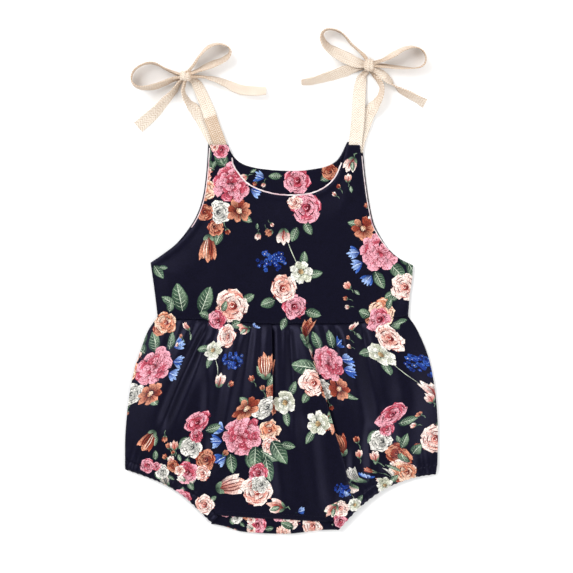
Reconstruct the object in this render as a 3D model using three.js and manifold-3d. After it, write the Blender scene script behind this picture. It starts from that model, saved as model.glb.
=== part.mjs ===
// A baby romper with bow straps, laid flat. Millimetres, +Z up, +Y towards the bows,
// origin in the middle of the footprint on the surface that the romper lies on.
import * as THREE from 'three';
import { mergeVertices } from 'three/addons/utils/BufferGeometryUtils.js';
import Module from 'manifold-3d';

const wasm = await Module();
wasm.setup();

// Driving dimensions
const clothWall = 1.2; // the fabric with its turned edges
const layerGap = 0.3; // between pieces that lie on each other
const seamGap = 0.3; // between pieces that are sewn edge to edge
const facingWall = 0.9;
const tapeWall = 1.0;
const casingWidth = 8; // the elastic tunnel round a leg
const casingWall = 1.5;
const ripplePitch = 5.2; // of the elastic's gathers
const rippleRise = 0.9;
const waistCrown = 2.4; // how far the waist seam lifts in the middle
const edgeFade = 26; // how far in from a side seam the front reaches its full lift
const bodiceCrown = 2.6; // how far the bodice front lifts off the back
const bloomerCrown = 11; // how far the gathered front puffs up
const frontFloor = clothWall + layerGap; // where the front lies on the back
const facedFloor = frontFloor + facingWall + layerGap; // where it lies on a facing
const armholeRoll = 1.9; // how far the front's armholes lie inside the back's
const flapTop = 4.2; // top of the crotch flap, where it is wrapped to the front

// Outline tables, x and y, as the garment lies
const armholeLeft = [
  [-66.3, 127.9], [-66.9, 119], [-67.9, 103.2], [-70.8, 79.8], [-74.3, 66.9], [-79.6, 55.1],
  [-86.7, 44.6], [-96.1, 33.6], [-106.6, 25.3], [-119.5, 16.4],
];
const sideLeft = [[-119.5, 16.4], [-117.3, 1.4], [-114.8, -17.6], [-113, -33.3]];
const armholeRight = [
  [74.7, 127.5], [76.2, 115], [78, 97.4], [80.3, 79.8], [82.7, 65.8], [86.2, 51.6],
  [92.1, 40], [100.3, 28.1], [109.7, 20], [121.9, 14.1],
];
const sideRight = [[121.9, 14.1], [120.8, 0], [119.1, -10.6], [117.3, -33]];
const neckFront = [
  [-47.9, 124.6], [-45.5, 113.8], [-43.8, 105.6], [-38.5, 97.4], [-31.5, 89.6], [-22, 84],
  [-6.9, 79.4], [6, 78], [20.5, 78.4], [32.2, 81], [42.4, 86.4], [50.4, 94.5], [55.2, 104.5],
  [58.4, 113.7], [60.8, 124.6],
];
const neckBack = [
  [-50.5, 128], [-42.6, 113.5], [-35.1, 107.4], [-24.4, 103.9], [-12.7, 102.1], [2, 101],
  [17.9, 100.9], [32.2, 102.7], [42.5, 105], [52.4, 111], [61.5, 127.5],
];
const waistSeam = [
  [-113.2, -33.4], [-96.3, -35.6], [-66.7, -36.9], [-23, -39.7], [0, -40.5], [24.9, -39.9],
  [67.2, -39.5], [90, -36.6], [117.3, -33],
];
const balloonLeft = [
  [-113.2, -33.4], [-121.9, -46.5], [-128.7, -64.4], [-134.3, -81.4], [-138.5, -102.6],
  [-141.2, -123.7], [-142.8, -144.9], [-142.9, -165.2],
];
const balloonRight = [
  [117.3, -33], [123.6, -41.9], [130.5, -55.7], [136.2, -71.3], [140.6, -91.2], [143.4, -113.6],
  [144.7, -137.5], [144.2, -169.4],
];
const legLeft = [
  [-142.9, -173.6], [-131.5, -177.4], [-117.4, -182.6], [-104.7, -188.2], [-93.5, -194.8],
  [-83.6, -202.8], [-75.2, -210.9], [-68.1, -217.8], [-62.5, -223.2],
];
const legRight = [
  [52.9, -229.6], [65.8, -215.4], [75.6, -206], [86.9, -197.2], [98, -190.4], [112.2, -184.4],
  [126.3, -180.4], [143.7, -177.8],
];
const hemFront = [
  [-51.3, -216.2], [-34.5, -217.4], [-16.1, -218.5], [-0.5, -219], [13.3, -220], [27.7, -220.8],
  [42, -221.4],
];
const crotchFold = [
  [-60, -224.2], [-50.1, -226.4], [-37.3, -230.5], [-16.1, -232.4], [8.7, -232.8],
  [20.7, -231.6], [36, -229.6], [47, -229.2],
];
const crotchSeam = [ // where the flap is sewn to the bloomer back
  [-56.5, -216.5], [-44, -216.6], [-30, -216.9], [-15, -217.3], [0, -217.9], [15, -219],
  [30, -220.2], [46, -221.5],
];
const flapEnd = -206; // where its wrapped end stops under the front
const flapTaper = 0.006; // the share of its width that the flap loses for each mm from its fold

// The gathers of the waist seam, left to right: x at the seam, halfway down and at the hem,
// the depth of the gather and the share of the way down that it reaches
const gathers = [
  [-105.3, -127, -136, 1.3, 0.3], [-94.3, -119, -131, 1.8, 0.42], [-87, -112, -127, 1.4, 0.3],
  [-77.5, -104, -122, 1.7, 0.36], [-66.7, -96, -115, 2, 0.5], [-55.7, -82, -100, 1.2, 0.28],
  [-43.7, -67, -83, 1.9, 0.4], [-35.5, -53, -68, 1.7, 0.34], [-26.2, -39, -52, 1.9, 0.44],
  [-17, -25, -33, 1.6, 0.33], [-7.8, -8.5, -12, 2, 0.5], [0.5, 2, 4, 1.5, 0.35],
  [8.3, 14, 22, 1.9, 0.42], [13, 30, 43, 0.9, 0.2], [19, 47.4, 64, 1.7, 0.5],
  [29.9, 54, 71, 1.5, 0.33], [38.2, 60, 78, 1.8, 0.4], [49.2, 67, 85, 2, 0.45],
  [61.2, 77, 94, 1.5, 0.32], [74.1, 89, 104, 1.9, 0.42], [87.9, 103, 116, 1.4, 0.34],
  [102.6, 121, 130, 1.2, 0.28],
];
const columnsPerGather = 3;

// The long folds: x at the seam, halfway down and at the hem, start and end down the panel,
// height (a valley is negative) and half width
const longFolds = [
  [-66.7, -99, -121, 0.05, 0.72, -2.6, 5], [-60, -91, -112, 0.08, 0.7, 1.8, 5],
  [-66, -67, -70, 0.05, 0.6, -1.8, 5], [-36, -52, -66, 0.05, 0.62, 1.8, 6],
  [-44, -58, -72, 0.2, 0.85, -1.6, 6], [-13, -13, -16, 0, 0.5, 2.4, 4],
  [-5, -3, -4, 0, 0.52, -2.2, 4], [8, 13, 22, 0.02, 0.6, -1.6, 4.5],
  [14, 42, 60, 0.02, 0.95, 2.6, 5], [20, 51, 68, 0.02, 0.95, -2.4, 4.5],
  [50, 54, 66, 0.05, 0.35, -1.8, 5], [60, 77, 90, 0.08, 0.55, 1.8, 6],
  [80, 84, 92, 0.4, 0.75, -1.6, 7], [48, 62, 68, 0.72, 0.97, -1.8, 4],
];

// The shares of the way down a panel where it has a row of points
const bloomerRows = [0, 0.03, 0.08, 0.14, 0.21, 0.29, 0.38, 0.47, 0.56, 0.66, 0.76, 0.86, 0.94, 1];
const backRows = [0, 0.2, 0.45, 0.7, 1];
const bodiceRows = [0, 0.05, 0.12, 0.22, 0.33, 0.44, 0.55, 0.64, 0.72, 0.82, 0.92, 1];
const bodiceBackRows = [0, 0.12, 0.25, 0.4, 0.55, 0.64, 0.72, 0.84, 1];

// The bows. Each strand's rows: x, y, lift off what lies below, roll (90 stands on edge), width
const bows = {
  left: {
    knot: { x: -87.6, y: 187.8, z: 5.2, halfX: 6.2, halfY: 4.6, halfZ: 4.6, turn: -0.25 },
    strands: {
      loop_left: [
        [-88, 189, 2.5, 88, 5], [-94.5, 190, 2, 88, 7], [-106.1, 194.7, 0.6, 84, 10],
        [-114.5, 198.9, 0.4, 82, 12], [-120.3, 199.7, 0.4, 84, 12], [-127.2, 197.9, 0.4, 86, 12],
        [-134.1, 193.1, 0.4, 89, 12], [-136.8, 186.8, 0.4, 92, 12], [-136.3, 182.1, 0.4, 95, 12],
        [-132.6, 178.2, 0.4, 99, 12], [-125.1, 176.8, 0.4, 105, 12], [-114.5, 178.3, 0.4, 109, 12],
        [-106.1, 181.5, 0.4, 108, 11], [-97.6, 185, 1, 100, 8], [-88, 187, 2.5, 92, 5],
      ],
      loop_right: [
        [-87, 190, 3, 90, 5], [-82.8, 194.4, 2.4, 84, 7], [-78.6, 200.6, 1, 74, 9],
        [-74.9, 205.8, 0.5, 74, 11], [-65.9, 214.6, 0.4, 76, 12], [-58.5, 217.2, 0.4, 80, 12],
        [-52.2, 216.6, 0.4, 86, 12], [-47.4, 213.8, 0.4, 92, 12], [-46.4, 209.2, 0.4, 100, 12],
        [-51.1, 203.6, 0.4, 112, 12], [-61.7, 198.9, 0.4, 120, 12], [-70.1, 195.4, 0.8, 120, 11],
        [-76.5, 192.4, 1.8, 108, 8], [-85, 189, 3.2, 94, 5],
      ],
      tail_left: [
        [-89.5, 186, 2.2, 60, 4], [-93, 181.4, 0.8, 55, 6], [-97.6, 174.1, 0.4, 50, 9],
        [-106.1, 164.6, 0.4, 48, 11], [-114.5, 155.1, 0.4, 42, 12], [-122, 148.4, 0.4, 34, 12],
        [-130.9, 140.9, 0.4, 28, 12],
      ],
      tail_right: [
        [-86, 187, 3.4, 90, 5], [-78, 187, 3.2, 86, 6], [-72.3, 186.9, 2, 80, 8],
        [-61.7, 185.2, 0.6, 66, 11], [-51.2, 181.5, 0.4, 54, 12], [-42.7, 177.6, 0.4, 44, 12],
        [-35.2, 175, 0.4, 42, 12], [-24.7, 174.1, 0.4, 48, 12], [-13.1, 174.1, 0.4, 52, 12],
      ],
    },
    straps: {
      front: [
        [-86, 188, 1.4, 6, 6], [-80.5, 184.4, 0.8, 6, 7], [-76, 178.6, 0.5, 6, 10],
        [-70.2, 165.6, 0.5, 8, 11.4], [-66, 155.1, 1.8, 4, 12], [-62.7, 144.5, 2.6, 0, 12],
        [-58.8, 134, 2.8, 0, 12], [-55.9, 126, 2.8, 0, 12], [-54.3, 118.5, 2.8, 0, 12],
      ],
      back: [
        [-87, 186, 0.6, 70, 5], [-88.3, 180, 0.4, 70, 6], [-89.1, 172.6, 0.4, 66, 9],
        [-85.4, 164.8, 0.4, 60, 11], [-79.6, 158, 0.4, 30, 12], [-72.8, 149.4, 0.4, 2, 12],
        [-67.4, 139.6, 0.8, 0, 12], [-61.6, 129.7, 1.5, 0, 12], [-56.2, 118.5, 1.5, 0, 10.4],
      ],
    },
  },
  right: {
    knot: { x: 81.6, y: 197.8, z: 5.4, halfX: 5.4, halfY: 6, halfZ: 4.8, turn: -0.1 },
    strands: {
      loop_left: [
        [80, 201, 3, 88, 5], [76.4, 206.4, 2.6, 88, 6], [70, 212.2, 1.4, 88, 8],
        [64.7, 217, 0.5, 88, 10], [60.4, 222.8, 0.4, 88, 12], [55.2, 227.8, 0.4, 88, 12],
        [48.6, 230.4, 0.4, 88, 12], [41.9, 230.2, 0.4, 84, 12], [38.4, 226.4, 0.4, 78, 12],
        [38.9, 221, 0.4, 68, 12], [43, 214.8, 0.4, 56, 12], [52, 208.8, 0.6, 38, 12],
        [61.8, 203.8, 1.6, 22, 12], [69.4, 200.4, 2.8, 14, 10], [80, 198, 4, 8, 6],
      ],
      loop_right: [
        [83, 198.8, 4.6, 76, 5], [89, 200.6, 3.8, 66, 6], [96, 203.4, 1.6, 62, 9],
        [105.3, 208.4, 0.5, 66, 12], [113, 212.6, 0.4, 70, 12], [120.5, 214.5, 0.4, 76, 12],
        [127.1, 213.4, 0.4, 84, 12], [131.9, 209.1, 0.4, 90, 12], [133.4, 203.7, 0.4, 93, 12],
        [132.4, 199.4, 0.4, 95, 12], [129.1, 196.4, 0.4, 96, 12], [122.5, 195.1, 0.4, 98, 12],
        [113, 195.4, 0.4, 100, 12], [103.5, 196.2, 0.6, 104, 11], [94, 197.2, 1.6, 106, 8],
        [83, 197.4, 3, 96, 5],
      ],
      tail_left: [
        [80, 197, 0.5, 20, 4], [74.1, 195.6, 0.4, 20, 5], [66.5, 194.4, 0.4, 20, 8],
        [58, 192, 0.4, 36, 12], [49.5, 188.9, 0.4, 44, 12], [40, 186.1, 0.4, 52, 12],
        [29.6, 183.3, 0.4, 64, 12], [19.1, 181.7, 0.4, 74, 12],
      ],
      tail_right: [
        [83, 195, 4.6, 20, 5], [88.6, 192.6, 4.8, 20, 7], [93.6, 188.8, 3.6, 28, 9],
        [99.5, 183.8, 0.6, 52, 11], [104.8, 178.6, 0.4, 84, 11], [111, 174.2, 0.4, 108, 12],
        [117.7, 170.8, 0.4, 116, 12], [125.3, 166.7, 0.4, 122, 12], [132.8, 162.5, 0.4, 134, 12],
      ],
    },
    straps: {
      front: [
        [80.4, 192.2, 0.5, 10, 5], [77, 189.8, 0.5, 8, 6.5], [74.3, 184, 0.5, 4, 10],
        [72.7, 173.3, 0.8, 0, 11.6], [71.8, 159.2, 2.7, 0, 12], [70.9, 144.9, 2.7, 0, 12],
        [69.6, 132.6, 2.8, 0, 12], [68.9, 126, 2.8, 0, 12], [68.4, 118.5, 2.8, 0, 12],
      ],
      back: [
        [83, 195, 0.6, -60, 3.4], [85.8, 190.2, 0.4, -60, 3.8], [89.8, 184.4, 0.4, -78, 8],
        [93, 178, 0.4, -78, 12], [92.1, 170.5, 0.4, -68, 12], [88.9, 164.6, 0.4, -56, 12],
        [85, 159.2, 0.4, -28, 12], [80.6, 152.4, 0.4, -2, 12], [76, 140, 0.8, 0, 12],
        [72, 128.6, 1.5, 0, 12], [69.6, 118.5, 1.5, 0, 12],
      ],
    },
  },
};
const strandSteps = 24;

// Colours
const navy = new THREE.Color(0x1c1b28);
const navyInside = new THREE.Color(0x242230);
const cream = new THREE.Color(0xe9d8c0);
const pale = new THREE.Color(0xe6cfd2);

const romper = new THREE.Group();

function addPiece(name, geometry, color) {
  const material = new THREE.MeshStandardMaterial({ color, roughness: 0.8, metalness: 0 });
  const mesh = new THREE.Mesh(geometry, material);
  mesh.name = name;
  romper.add(mesh);
}

function smooth(share) {
  const t = THREE.MathUtils.clamp(share, 0, 1);
  return t * t * (3 - 2 * t);
}

// Smooth curve through rows of x and y
function planCurve(rows) {
  const points = rows.map(([x, y]) => new THREE.Vector3(x, y, 0));
  return new THREE.CatmullRomCurve3(points, false, 'centripetal');
}

// Curves joined end to end, each taking the given share of the whole
function joinedCurve(parts) {
  return (share) => {
    let start = 0;
    for (const { curve, length } of parts) {
      if (share <= start + length || curve === parts.at(-1).curve) {
        return curve.getPointAt(THREE.MathUtils.clamp((share - start) / length, 0, 1));
      }
      start += length;
    }
  };
}

// The y of a curve at an x, for a curve that runs left to right
function heightAt(curve, x) {
  const steps = 240;
  const points = curve.getPoints(steps);
  const next = points.findIndex((point) => point.x >= x);
  if (next <= 0) {
    return (next === 0 ? points[0] : points[steps]).y;
  }
  const [before, after] = [points[next - 1], points[next]];
  return THREE.MathUtils.mapLinear(x, before.x, after.x, before.y, after.y);
}

// The value at a share of the way along three evenly spaced ones
function through(start, middle, end, share) {
  const t = share;
  return start * (1 - t) * (1 - 2 * t) + middle * 4 * t * (1 - t) + end * t * (2 * t - 1);
}

// A closed wall between an outer and an inner grid of points, with rows running down the panel
function wallGeometry(outer, inner) {
  const rows = outer.length;
  const columns = outer[0].length;
  const positions = [...outer.flat(), ...inner.flat()].flatMap((point) => point.toArray());
  const index = [];
  const at = (layer, row, column) => (layer * rows + row) * columns + column;
  const quad = (a, b, c, d) => index.push(a, b, c, a, c, d);
  for (let r = 0; r < rows - 1; r++) {
    for (let c = 0; c < columns - 1; c++) {
      quad(at(0, r, c), at(0, r + 1, c), at(0, r + 1, c + 1), at(0, r, c + 1));
      quad(at(1, r, c), at(1, r, c + 1), at(1, r + 1, c + 1), at(1, r + 1, c));
    }
  }
  const [last, end] = [rows - 1, columns - 1];
  for (let c = 0; c < end; c++) {
    quad(at(0, 0, c), at(0, 0, c + 1), at(1, 0, c + 1), at(1, 0, c));
    quad(at(0, last, c + 1), at(0, last, c), at(1, last, c), at(1, last, c + 1));
  }
  for (let r = 0; r < last; r++) {
    quad(at(0, r + 1, 0), at(0, r, 0), at(1, r, 0), at(1, r + 1, 0));
    quad(at(0, r, end), at(0, r + 1, end), at(1, r + 1, end), at(1, r, end));
  }
  const geometry = new THREE.BufferGeometry();
  geometry.setAttribute('position', new THREE.Float32BufferAttribute(positions, 3));
  geometry.setIndex(index);
  return geometry;
}

// The points of a grid moved back from its face by a wall
function movedIn(grid, wall) {
  const at = (row, column) => grid[row][column];
  const last = grid.length - 1;
  return grid.map((points, r) => points.map((point, c) => {
    const down = new THREE.Vector3().subVectors(
      at(Math.min(r + 1, last), c), at(Math.max(r - 1, 0), c),
    );
    const across = new THREE.Vector3().subVectors(
      points[Math.min(c + 1, points.length - 1)], points[Math.max(c - 1, 0)],
    );
    const normal = down.cross(across).normalize();
    return point.clone().addScaledVector(normal, -wall);
  }));
}

// A panel with a flat underside on the surface
function flatPanel(grid) {
  const raise = (z) => grid.map((row) => row.map((point) => point.clone().setZ(z)));
  return wallGeometry(raise(clothWall), raise(0));
}

// Leg openings and the strips along them
const legs = { left: planCurve(legLeft), right: planCurve(legRight) };

// A point beside a curve, to its left by the given distance
function beside(curve, share, distance) {
  const tangent = curve.getTangentAt(share);
  const left = new THREE.Vector3(-tangent.y, tangent.x, 0);
  return curve.getPointAt(share).addScaledVector(left, distance);
}

// The lower edge of the front: above one leg tunnel, along the crotch, above the other tunnel
function panelHem(middleRows) {
  const shares = Array.from({ length: 11 }, (_, step) => 0.05 + 0.09 * step);
  const edge = (leg) => shares.map((share) => {
    const point = beside(leg, share, casingWidth + seamGap);
    return [point.x, point.y];
  });
  return planCurve([
    [balloonLeft.at(-1)[0], balloonLeft.at(-1)[1]], ...edge(legs.left), ...middleRows,
    ...edge(legs.right), [balloonRight.at(-1)[0], balloonRight.at(-1)[1]],
  ]);
}

// Plan position on the bloomer, from the column lines and the share of the way down
function bloomerPlan(lines, waist, hem) {
  const sides = [planCurve(balloonLeft), planCurve(balloonRight)];
  const along = (curve, share) => {
    const points = curve.getSpacedPoints(60);
    const [top, bottom] = [points[0].y, points[60].y];
    const target = THREE.MathUtils.lerp(top, bottom, share);
    const next = Math.max(points.findIndex((point) => point.y <= target + 1e-6), 1);
    const [before, after] = [points[next - 1], points[next]];
    return THREE.MathUtils.mapLinear(target, before.y, after.y, before.x, after.x);
  };
  return (column, share) => {
    const { left, right, part } = column;
    const xOf = (line, t) => {
      if (line === -1) {
        return along(sides[0], t);
      }
      if (line === lines.length) {
        return along(sides[1], t);
      }
      const [start, middle, end] = lines[line];
      return through(start, middle, end, t);
    };
    const x = (t) => THREE.MathUtils.lerp(xOf(left, t), xOf(right, t), part);
    const top = heightAt(waist, x(0)) - seamGap / 2;
    const y = THREE.MathUtils.lerp(top, heightAt(hem, x(1)), share);
    return new THREE.Vector3(x(share), y, 0);
  };
}

function columnsBetween(lines, steps) {
  const columns = [];
  for (let left = -1; left < lines.length; left++) {
    for (let step = 0; step < steps; step++) {
      columns.push({ left, right: left + 1, part: step / steps });
    }
  }
  columns.push({ left: lines.length - 1, right: lines.length, part: 1 });
  return columns;
}

// Height of the gathers and long folds at a plan point
function foldHeight(point, share) {
  const gatherWidth = 3 + 3 * share;
  let height = 0;
  for (const [start, middle, end, depth, reach] of gathers) {
    const away = (point.x - through(start, middle, end, share)) / gatherWidth;
    height -= depth * Math.exp(-away * away) * smooth(1 - share / reach);
  }
  for (const [start, middle, end, from, to, rise, halfWidth] of longFolds) {
    const away = (point.x - through(start, middle, end, share)) / halfWidth;
    const ends = smooth((share - from + 0.06) / 0.12) * smooth((to - share + 0.06) / 0.18);
    height += rise * Math.exp(-away * away) * ends;
  }
  return height;
}

// How far a point is from both side edges, as 0 on an edge and 1 well inside
function insideShare(point, left, right) {
  return smooth(Math.min(point.x - left, right - point.x) / edgeFade);
}

function bloomerFront() {
  const plan = bloomerPlan(gathers, planCurve(waistSeam), panelHem(hemFront));
  const columns = columnsBetween(gathers, columnsPerGather);
  const grid = bloomerRows.map((share) => {
    const left = plan(columns[0], share).x;
    const right = plan(columns.at(-1), share).x;
    return columns.map((column) => {
      const point = plan(column, share);
      const inside = insideShare(point, left, right);
      const across = 1 - ((2 * point.x - left - right) / (right - left)) ** 4;
      const waistTop = frontFloor + clothWall + waistCrown * inside;
      const hemTop = frontFloor + clothWall + (flapTop - frontFloor + layerGap) * inside;
      const puff = bloomerCrown * across * Math.sin(Math.PI * share ** 0.75);
      const sewnEnds = (0.55 + 0.45 * smooth(share / 0.06)) * smooth((1 - share) / 0.05);
      const folds = foldHeight(point, share) * inside * sewnEnds;
      const height = THREE.MathUtils.lerp(waistTop, hemTop, smooth(share)) + puff + folds;
      point.z = Math.max(height, frontFloor + clothWall);
      return point;
    });
  });
  return wallGeometry(grid, movedIn(grid, clothWall));
}

function bloomerBack() {
  const lines = gathers.filter((row, order) => order % 3 === 1);
  const plan = bloomerPlan(lines, planCurve(waistSeam), panelHem(crotchSeam));
  const columns = columnsBetween(lines, 4);
  return flatPanel(backRows.map((share) => columns.map((column) => plan(column, share))));
}

// The flap at the end of the bloomer back, folded over to the front
function crotchFlap() {
  const fold = planCurve(crotchFold);
  const seam = planCurve(crotchSeam);
  const radius = flapTop / 2;
  const steps = 15;
  const bend = [0, 0.25, 0.5, 0.75, 1];
  const middleX = (crotchFold[0][0] + crotchFold.at(-1)[0]) / 2;
  const section = (x, wall) => {
    const r = radius - wall;
    const foldY = heightAt(fold, x) + radius;
    const seamY = heightAt(seam, x) - 2 * seamGap;
    const upper = [flapEnd, (flapEnd + foldY) / 2].map((y) => [y, radius + r]);
    const turn = bend.map((share) => {
      const angle = Math.PI * share;
      return [foldY - r * Math.sin(angle), radius + r * Math.cos(angle)];
    });
    const lower = [(foldY + seamY) / 2, seamY].map((y) => [y, radius - r]);
    return [...upper, ...turn, ...lower].map(([y, z]) => {
      const taper = 1 - flapTaper * Math.max(y - foldY, 0);
      return new THREE.Vector3(middleX + (x - middleX) * taper, y, z);
    });
  };
  const sections = (wall) => Array.from({ length: steps + 1 }, (_, step) => {
    const x = THREE.MathUtils.lerp(crotchFold[0][0], crotchFold.at(-1)[0], step / steps);
    return section(x, wall);
  });
  const turned = (list) => list[0].map((_, row) => list.map((points) => points[row]));
  return wallGeometry(turned(sections(0)), turned(sections(clothWall)));
}

// A strip beside a curve, with its top at the height that a share and a place across give
function edgeStrip(curve, { from, to, near, far, steps, wall, top, flat, across = [1, 0] }) {
  const distances = across.map((place) => THREE.MathUtils.lerp(near, far, place));
  const grid = distances.map((distance, row) => Array.from({ length: steps + 1 }, (_, step) => {
    const share = THREE.MathUtils.lerp(from, to, step / steps);
    return beside(curve, share, distance).setZ(top(share, row));
  }));
  const inner = grid.map((row) => row.map((point) => point.clone().setZ(flat ?? point.z - wall)));
  return wallGeometry(grid, inner);
}

// The elastic tunnels: rippled on the front, flat under the back
function legCasings() {
  for (const [side, curve] of Object.entries(legs)) {
    const ripples = Math.round(curve.getLength() / ripplePitch);
    const crotchShare = side === 'left' ? 1 : 0;
    const rest = (share) => {
      const awayFromCrotch = Math.abs(share - crotchShare);
      const overFlap = flapTop + layerGap;
      return THREE.MathUtils.lerp(overFlap, frontFloor, smooth(awayFromCrotch * 1.15 - 0.15));
    };
    const ripple = (share) => rippleRise * 0.5 * (1 - Math.cos(2 * Math.PI * ripples * share));
    const frontTop = (share, row) => rest(share) + casingWall + (row === 1 ? ripple(share) : 0);
    addPiece(`casing_front_${side}`, edgeStrip(curve, {
      from: 0.005, to: 0.995, near: 0, far: casingWidth - seamGap, steps: ripples * 3,
      wall: casingWall, top: frontTop, across: [1, 0.5, 0],
    }), navy);
    const span = side === 'left' ? [0.01, 0.8] : [0.2, 0.99];
    addPiece(`casing_back_${side}`, edgeStrip(curve, {
      from: span[0], to: span[1], near: 0, far: casingWidth - seamGap, steps: 16, wall: clothWall,
      top: () => clothWall, flat: 0,
    }), navyInside);
  }
}

// Plan grid of a bodice panel between its top edge, the waist seam and two side curves
function bodicePlan(neckRows, armholes, rows, columns) {
  const tipShare = 0.09;
  const neck = planCurve(neckRows);
  const waist = planCurve(waistSeam);
  const tipLeft = new THREE.LineCurve3(armholes.left.getPointAt(0), neck.getPointAt(0));
  const tipRight = new THREE.LineCurve3(neck.getPointAt(1), armholes.right.getPointAt(0));
  const top = joinedCurve([
    { curve: tipLeft, length: tipShare },
    { curve: neck, length: 1 - 2 * tipShare },
    { curve: tipRight, length: tipShare },
  ]);
  const armShare = 0.72;
  const left = joinedCurve([
    { curve: armholes.left, length: armShare },
    { curve: planCurve(sideLeft), length: 1 - armShare },
  ]);
  const right = joinedCurve([
    { curve: armholes.right, length: armShare },
    { curve: planCurve(sideRight), length: 1 - armShare },
  ]);
  const bottom = (s) => {
    const x = THREE.MathUtils.lerp(waistSeam[0][0], waistSeam.at(-1)[0], s);
    return new THREE.Vector3(x, heightAt(waist, x) + seamGap / 2, 0);
  };
  const point = (s, v) => {
    const sideOf = (curve, from, to) => curve(v)
      .sub(new THREE.Vector3().lerpVectors(from, to, v));
    return new THREE.Vector3().lerpVectors(top(s), bottom(s), v)
      .addScaledVector(sideOf(left, top(0), bottom(0)), (1 - s) ** 2)
      .addScaledVector(sideOf(right, top(1), bottom(1)), s ** 2);
  };
  const shares = [0, tipShare / 2];
  for (let step = 0; step <= columns; step++) {
    shares.push(THREE.MathUtils.lerp(tipShare, 1 - tipShare, step / columns));
  }
  shares.push(1 - tipShare / 2, 1);
  return rows.map((v) => shares.map((s) => ({ s, v, point: point(s, v) })));
}

function bodiceBack() {
  const armholes = { left: planCurve(armholeLeft), right: planCurve(armholeRight) };
  const grid = bodicePlan(neckBack, armholes, bodiceBackRows, 18);
  return flatPanel(grid.map((row) => row.map(({ point }) => point)));
}

// The front's armholes lie a little inside the back's, so that the back and the facing show
function frontArmhole(rows, sign) {
  const last = rows.length - 1;
  return rows.map(([x, y], order) => {
    const fade = smooth((last - order) / 4);
    return [x + sign * armholeRoll * fade, y - armholeRoll * fade * (order === 0 ? 1.6 : 0.4)];
  });
}
const armholesFront = {
  left: planCurve(frontArmhole(armholeLeft, 1)),
  right: planCurve(frontArmhole(armholeRight, -1)),
};

function bodiceFront() {
  const strapsTop = frontFloor + 2 * (tapeWall + layerGap);
  const plan = bodicePlan(neckFront, armholesFront, bodiceRows, 26);
  const grid = plan.map((row) => row.map(({ s, v, point }) => {
    const side = Math.min(s, 1 - s);
    const inside = smooth(side / 0.12);
    const seamDrop = (facedFloor - frontFloor) * (1 - inside) * smooth((v - 0.6) / 0.12);
    const tip = (strapsTop - facedFloor) * (1 - smooth((side - 0.1) / 0.08)) * (1 - smooth(v / 0.3));
    const waistDrop = (facedFloor - frontFloor - waistCrown * inside) * smooth((v - 0.72) / 0.28);
    const crown = bodiceCrown * inside * Math.sin(Math.PI * Math.min(v * 1.1, 1));
    const drop = Math.max(seamDrop, waistDrop);
    point.z = facedFloor + clothWall + tip + crown - drop;
    return point;
  }));
  return wallGeometry(grid, movedIn(grid, clothWall));
}

// The pale facings that roll out past the front's neck and armholes
function facings() {
  const top = () => frontFloor + facingWall;
  const strip = { wall: facingWall, top, flat: frontFloor };
  addPiece('neck_facing', edgeStrip(planCurve(neckFront), {
    ...strip, from: 0.08, to: 0.9, near: -2.2, far: 1.2, steps: 26,
  }), pale);
  addPiece('armhole_facing_left', edgeStrip(armholesFront.left, {
    ...strip, from: 0.03, to: 0.62, near: -0.9, far: 1.4, steps: 14,
  }), pale);
  addPiece('armhole_facing_right', edgeStrip(armholesFront.right, {
    ...strip, from: 0.08, to: 0.8, near: -1.4, far: 0.9, steps: 18,
  }), pale);
}

// A tape with a rectangular section along rows of x, y, lift, roll and width
function tapeGeometry(rows, wall) {
  const route = planCurve(rows);
  const value = (column, t) => {
    const place = t * (rows.length - 1);
    const before = Math.min(Math.floor(place), rows.length - 2);
    const share = smooth(place - before);
    return THREE.MathUtils.lerp(rows[before][column], rows[before + 1][column], share);
  };
  const upper = [];
  const lower = [];
  for (let step = 0; step <= strandSteps; step++) {
    const t = step / strandSteps;
    const [lift, width] = [value(2, t), value(4, t)];
    const roll = THREE.MathUtils.degToRad(value(3, t));
    const tangent = route.getTangent(t);
    const sideways = new THREE.Vector3(tangent.y, -tangent.x, 0);
    const up = new THREE.Vector3(0, 0, 1);
    const breadth = sideways.clone().multiplyScalar(Math.cos(roll))
      .addScaledVector(up, Math.sin(roll));
    const face = up.clone().multiplyScalar(Math.cos(roll))
      .addScaledVector(sideways, -Math.sin(roll));
    const reach = Math.abs(Math.sin(roll)) * width / 2 + Math.abs(Math.cos(roll)) * wall / 2;
    const centre = route.getPoint(t).setZ(lift + reach);
    const corner = (side, layer) => centre.clone()
      .addScaledVector(breadth, side * width / 2).addScaledVector(face, layer * wall / 2);
    upper.push([corner(1, 1), corner(-1, 1)]);
    lower.push([corner(1, -1), corner(-1, -1)]);
  }
  return wallGeometry(upper, lower);
}

function knotGeometry({ x, y, z, halfX, halfY, halfZ, turn }, margin) {
  const knot = new THREE.SphereGeometry(1, 14, 10);
  knot.scale(halfX + margin, halfY + margin, halfZ + margin);
  knot.rotateZ(turn);
  knot.translate(x, y, z);
  return knot;
}

function solidOf(geometry) {
  const bare = geometry.clone();
  bare.deleteAttribute('normal');
  bare.deleteAttribute('uv');
  const merged = mergeVertices(bare, 1e-4);
  return new wasm.Manifold(new wasm.Mesh({
    numProp: 3,
    vertProperties: new Float32Array(merged.attributes.position.array),
    triVerts: new Uint32Array(merged.index.array),
  }));
}

function geometryOf(solid) {
  const { vertProperties, triVerts } = solid.getMesh();
  const geometry = new THREE.BufferGeometry();
  geometry.setAttribute('position', new THREE.Float32BufferAttribute(vertProperties, 3));
  geometry.setIndex([...triVerts]);
  return geometry;
}

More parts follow.
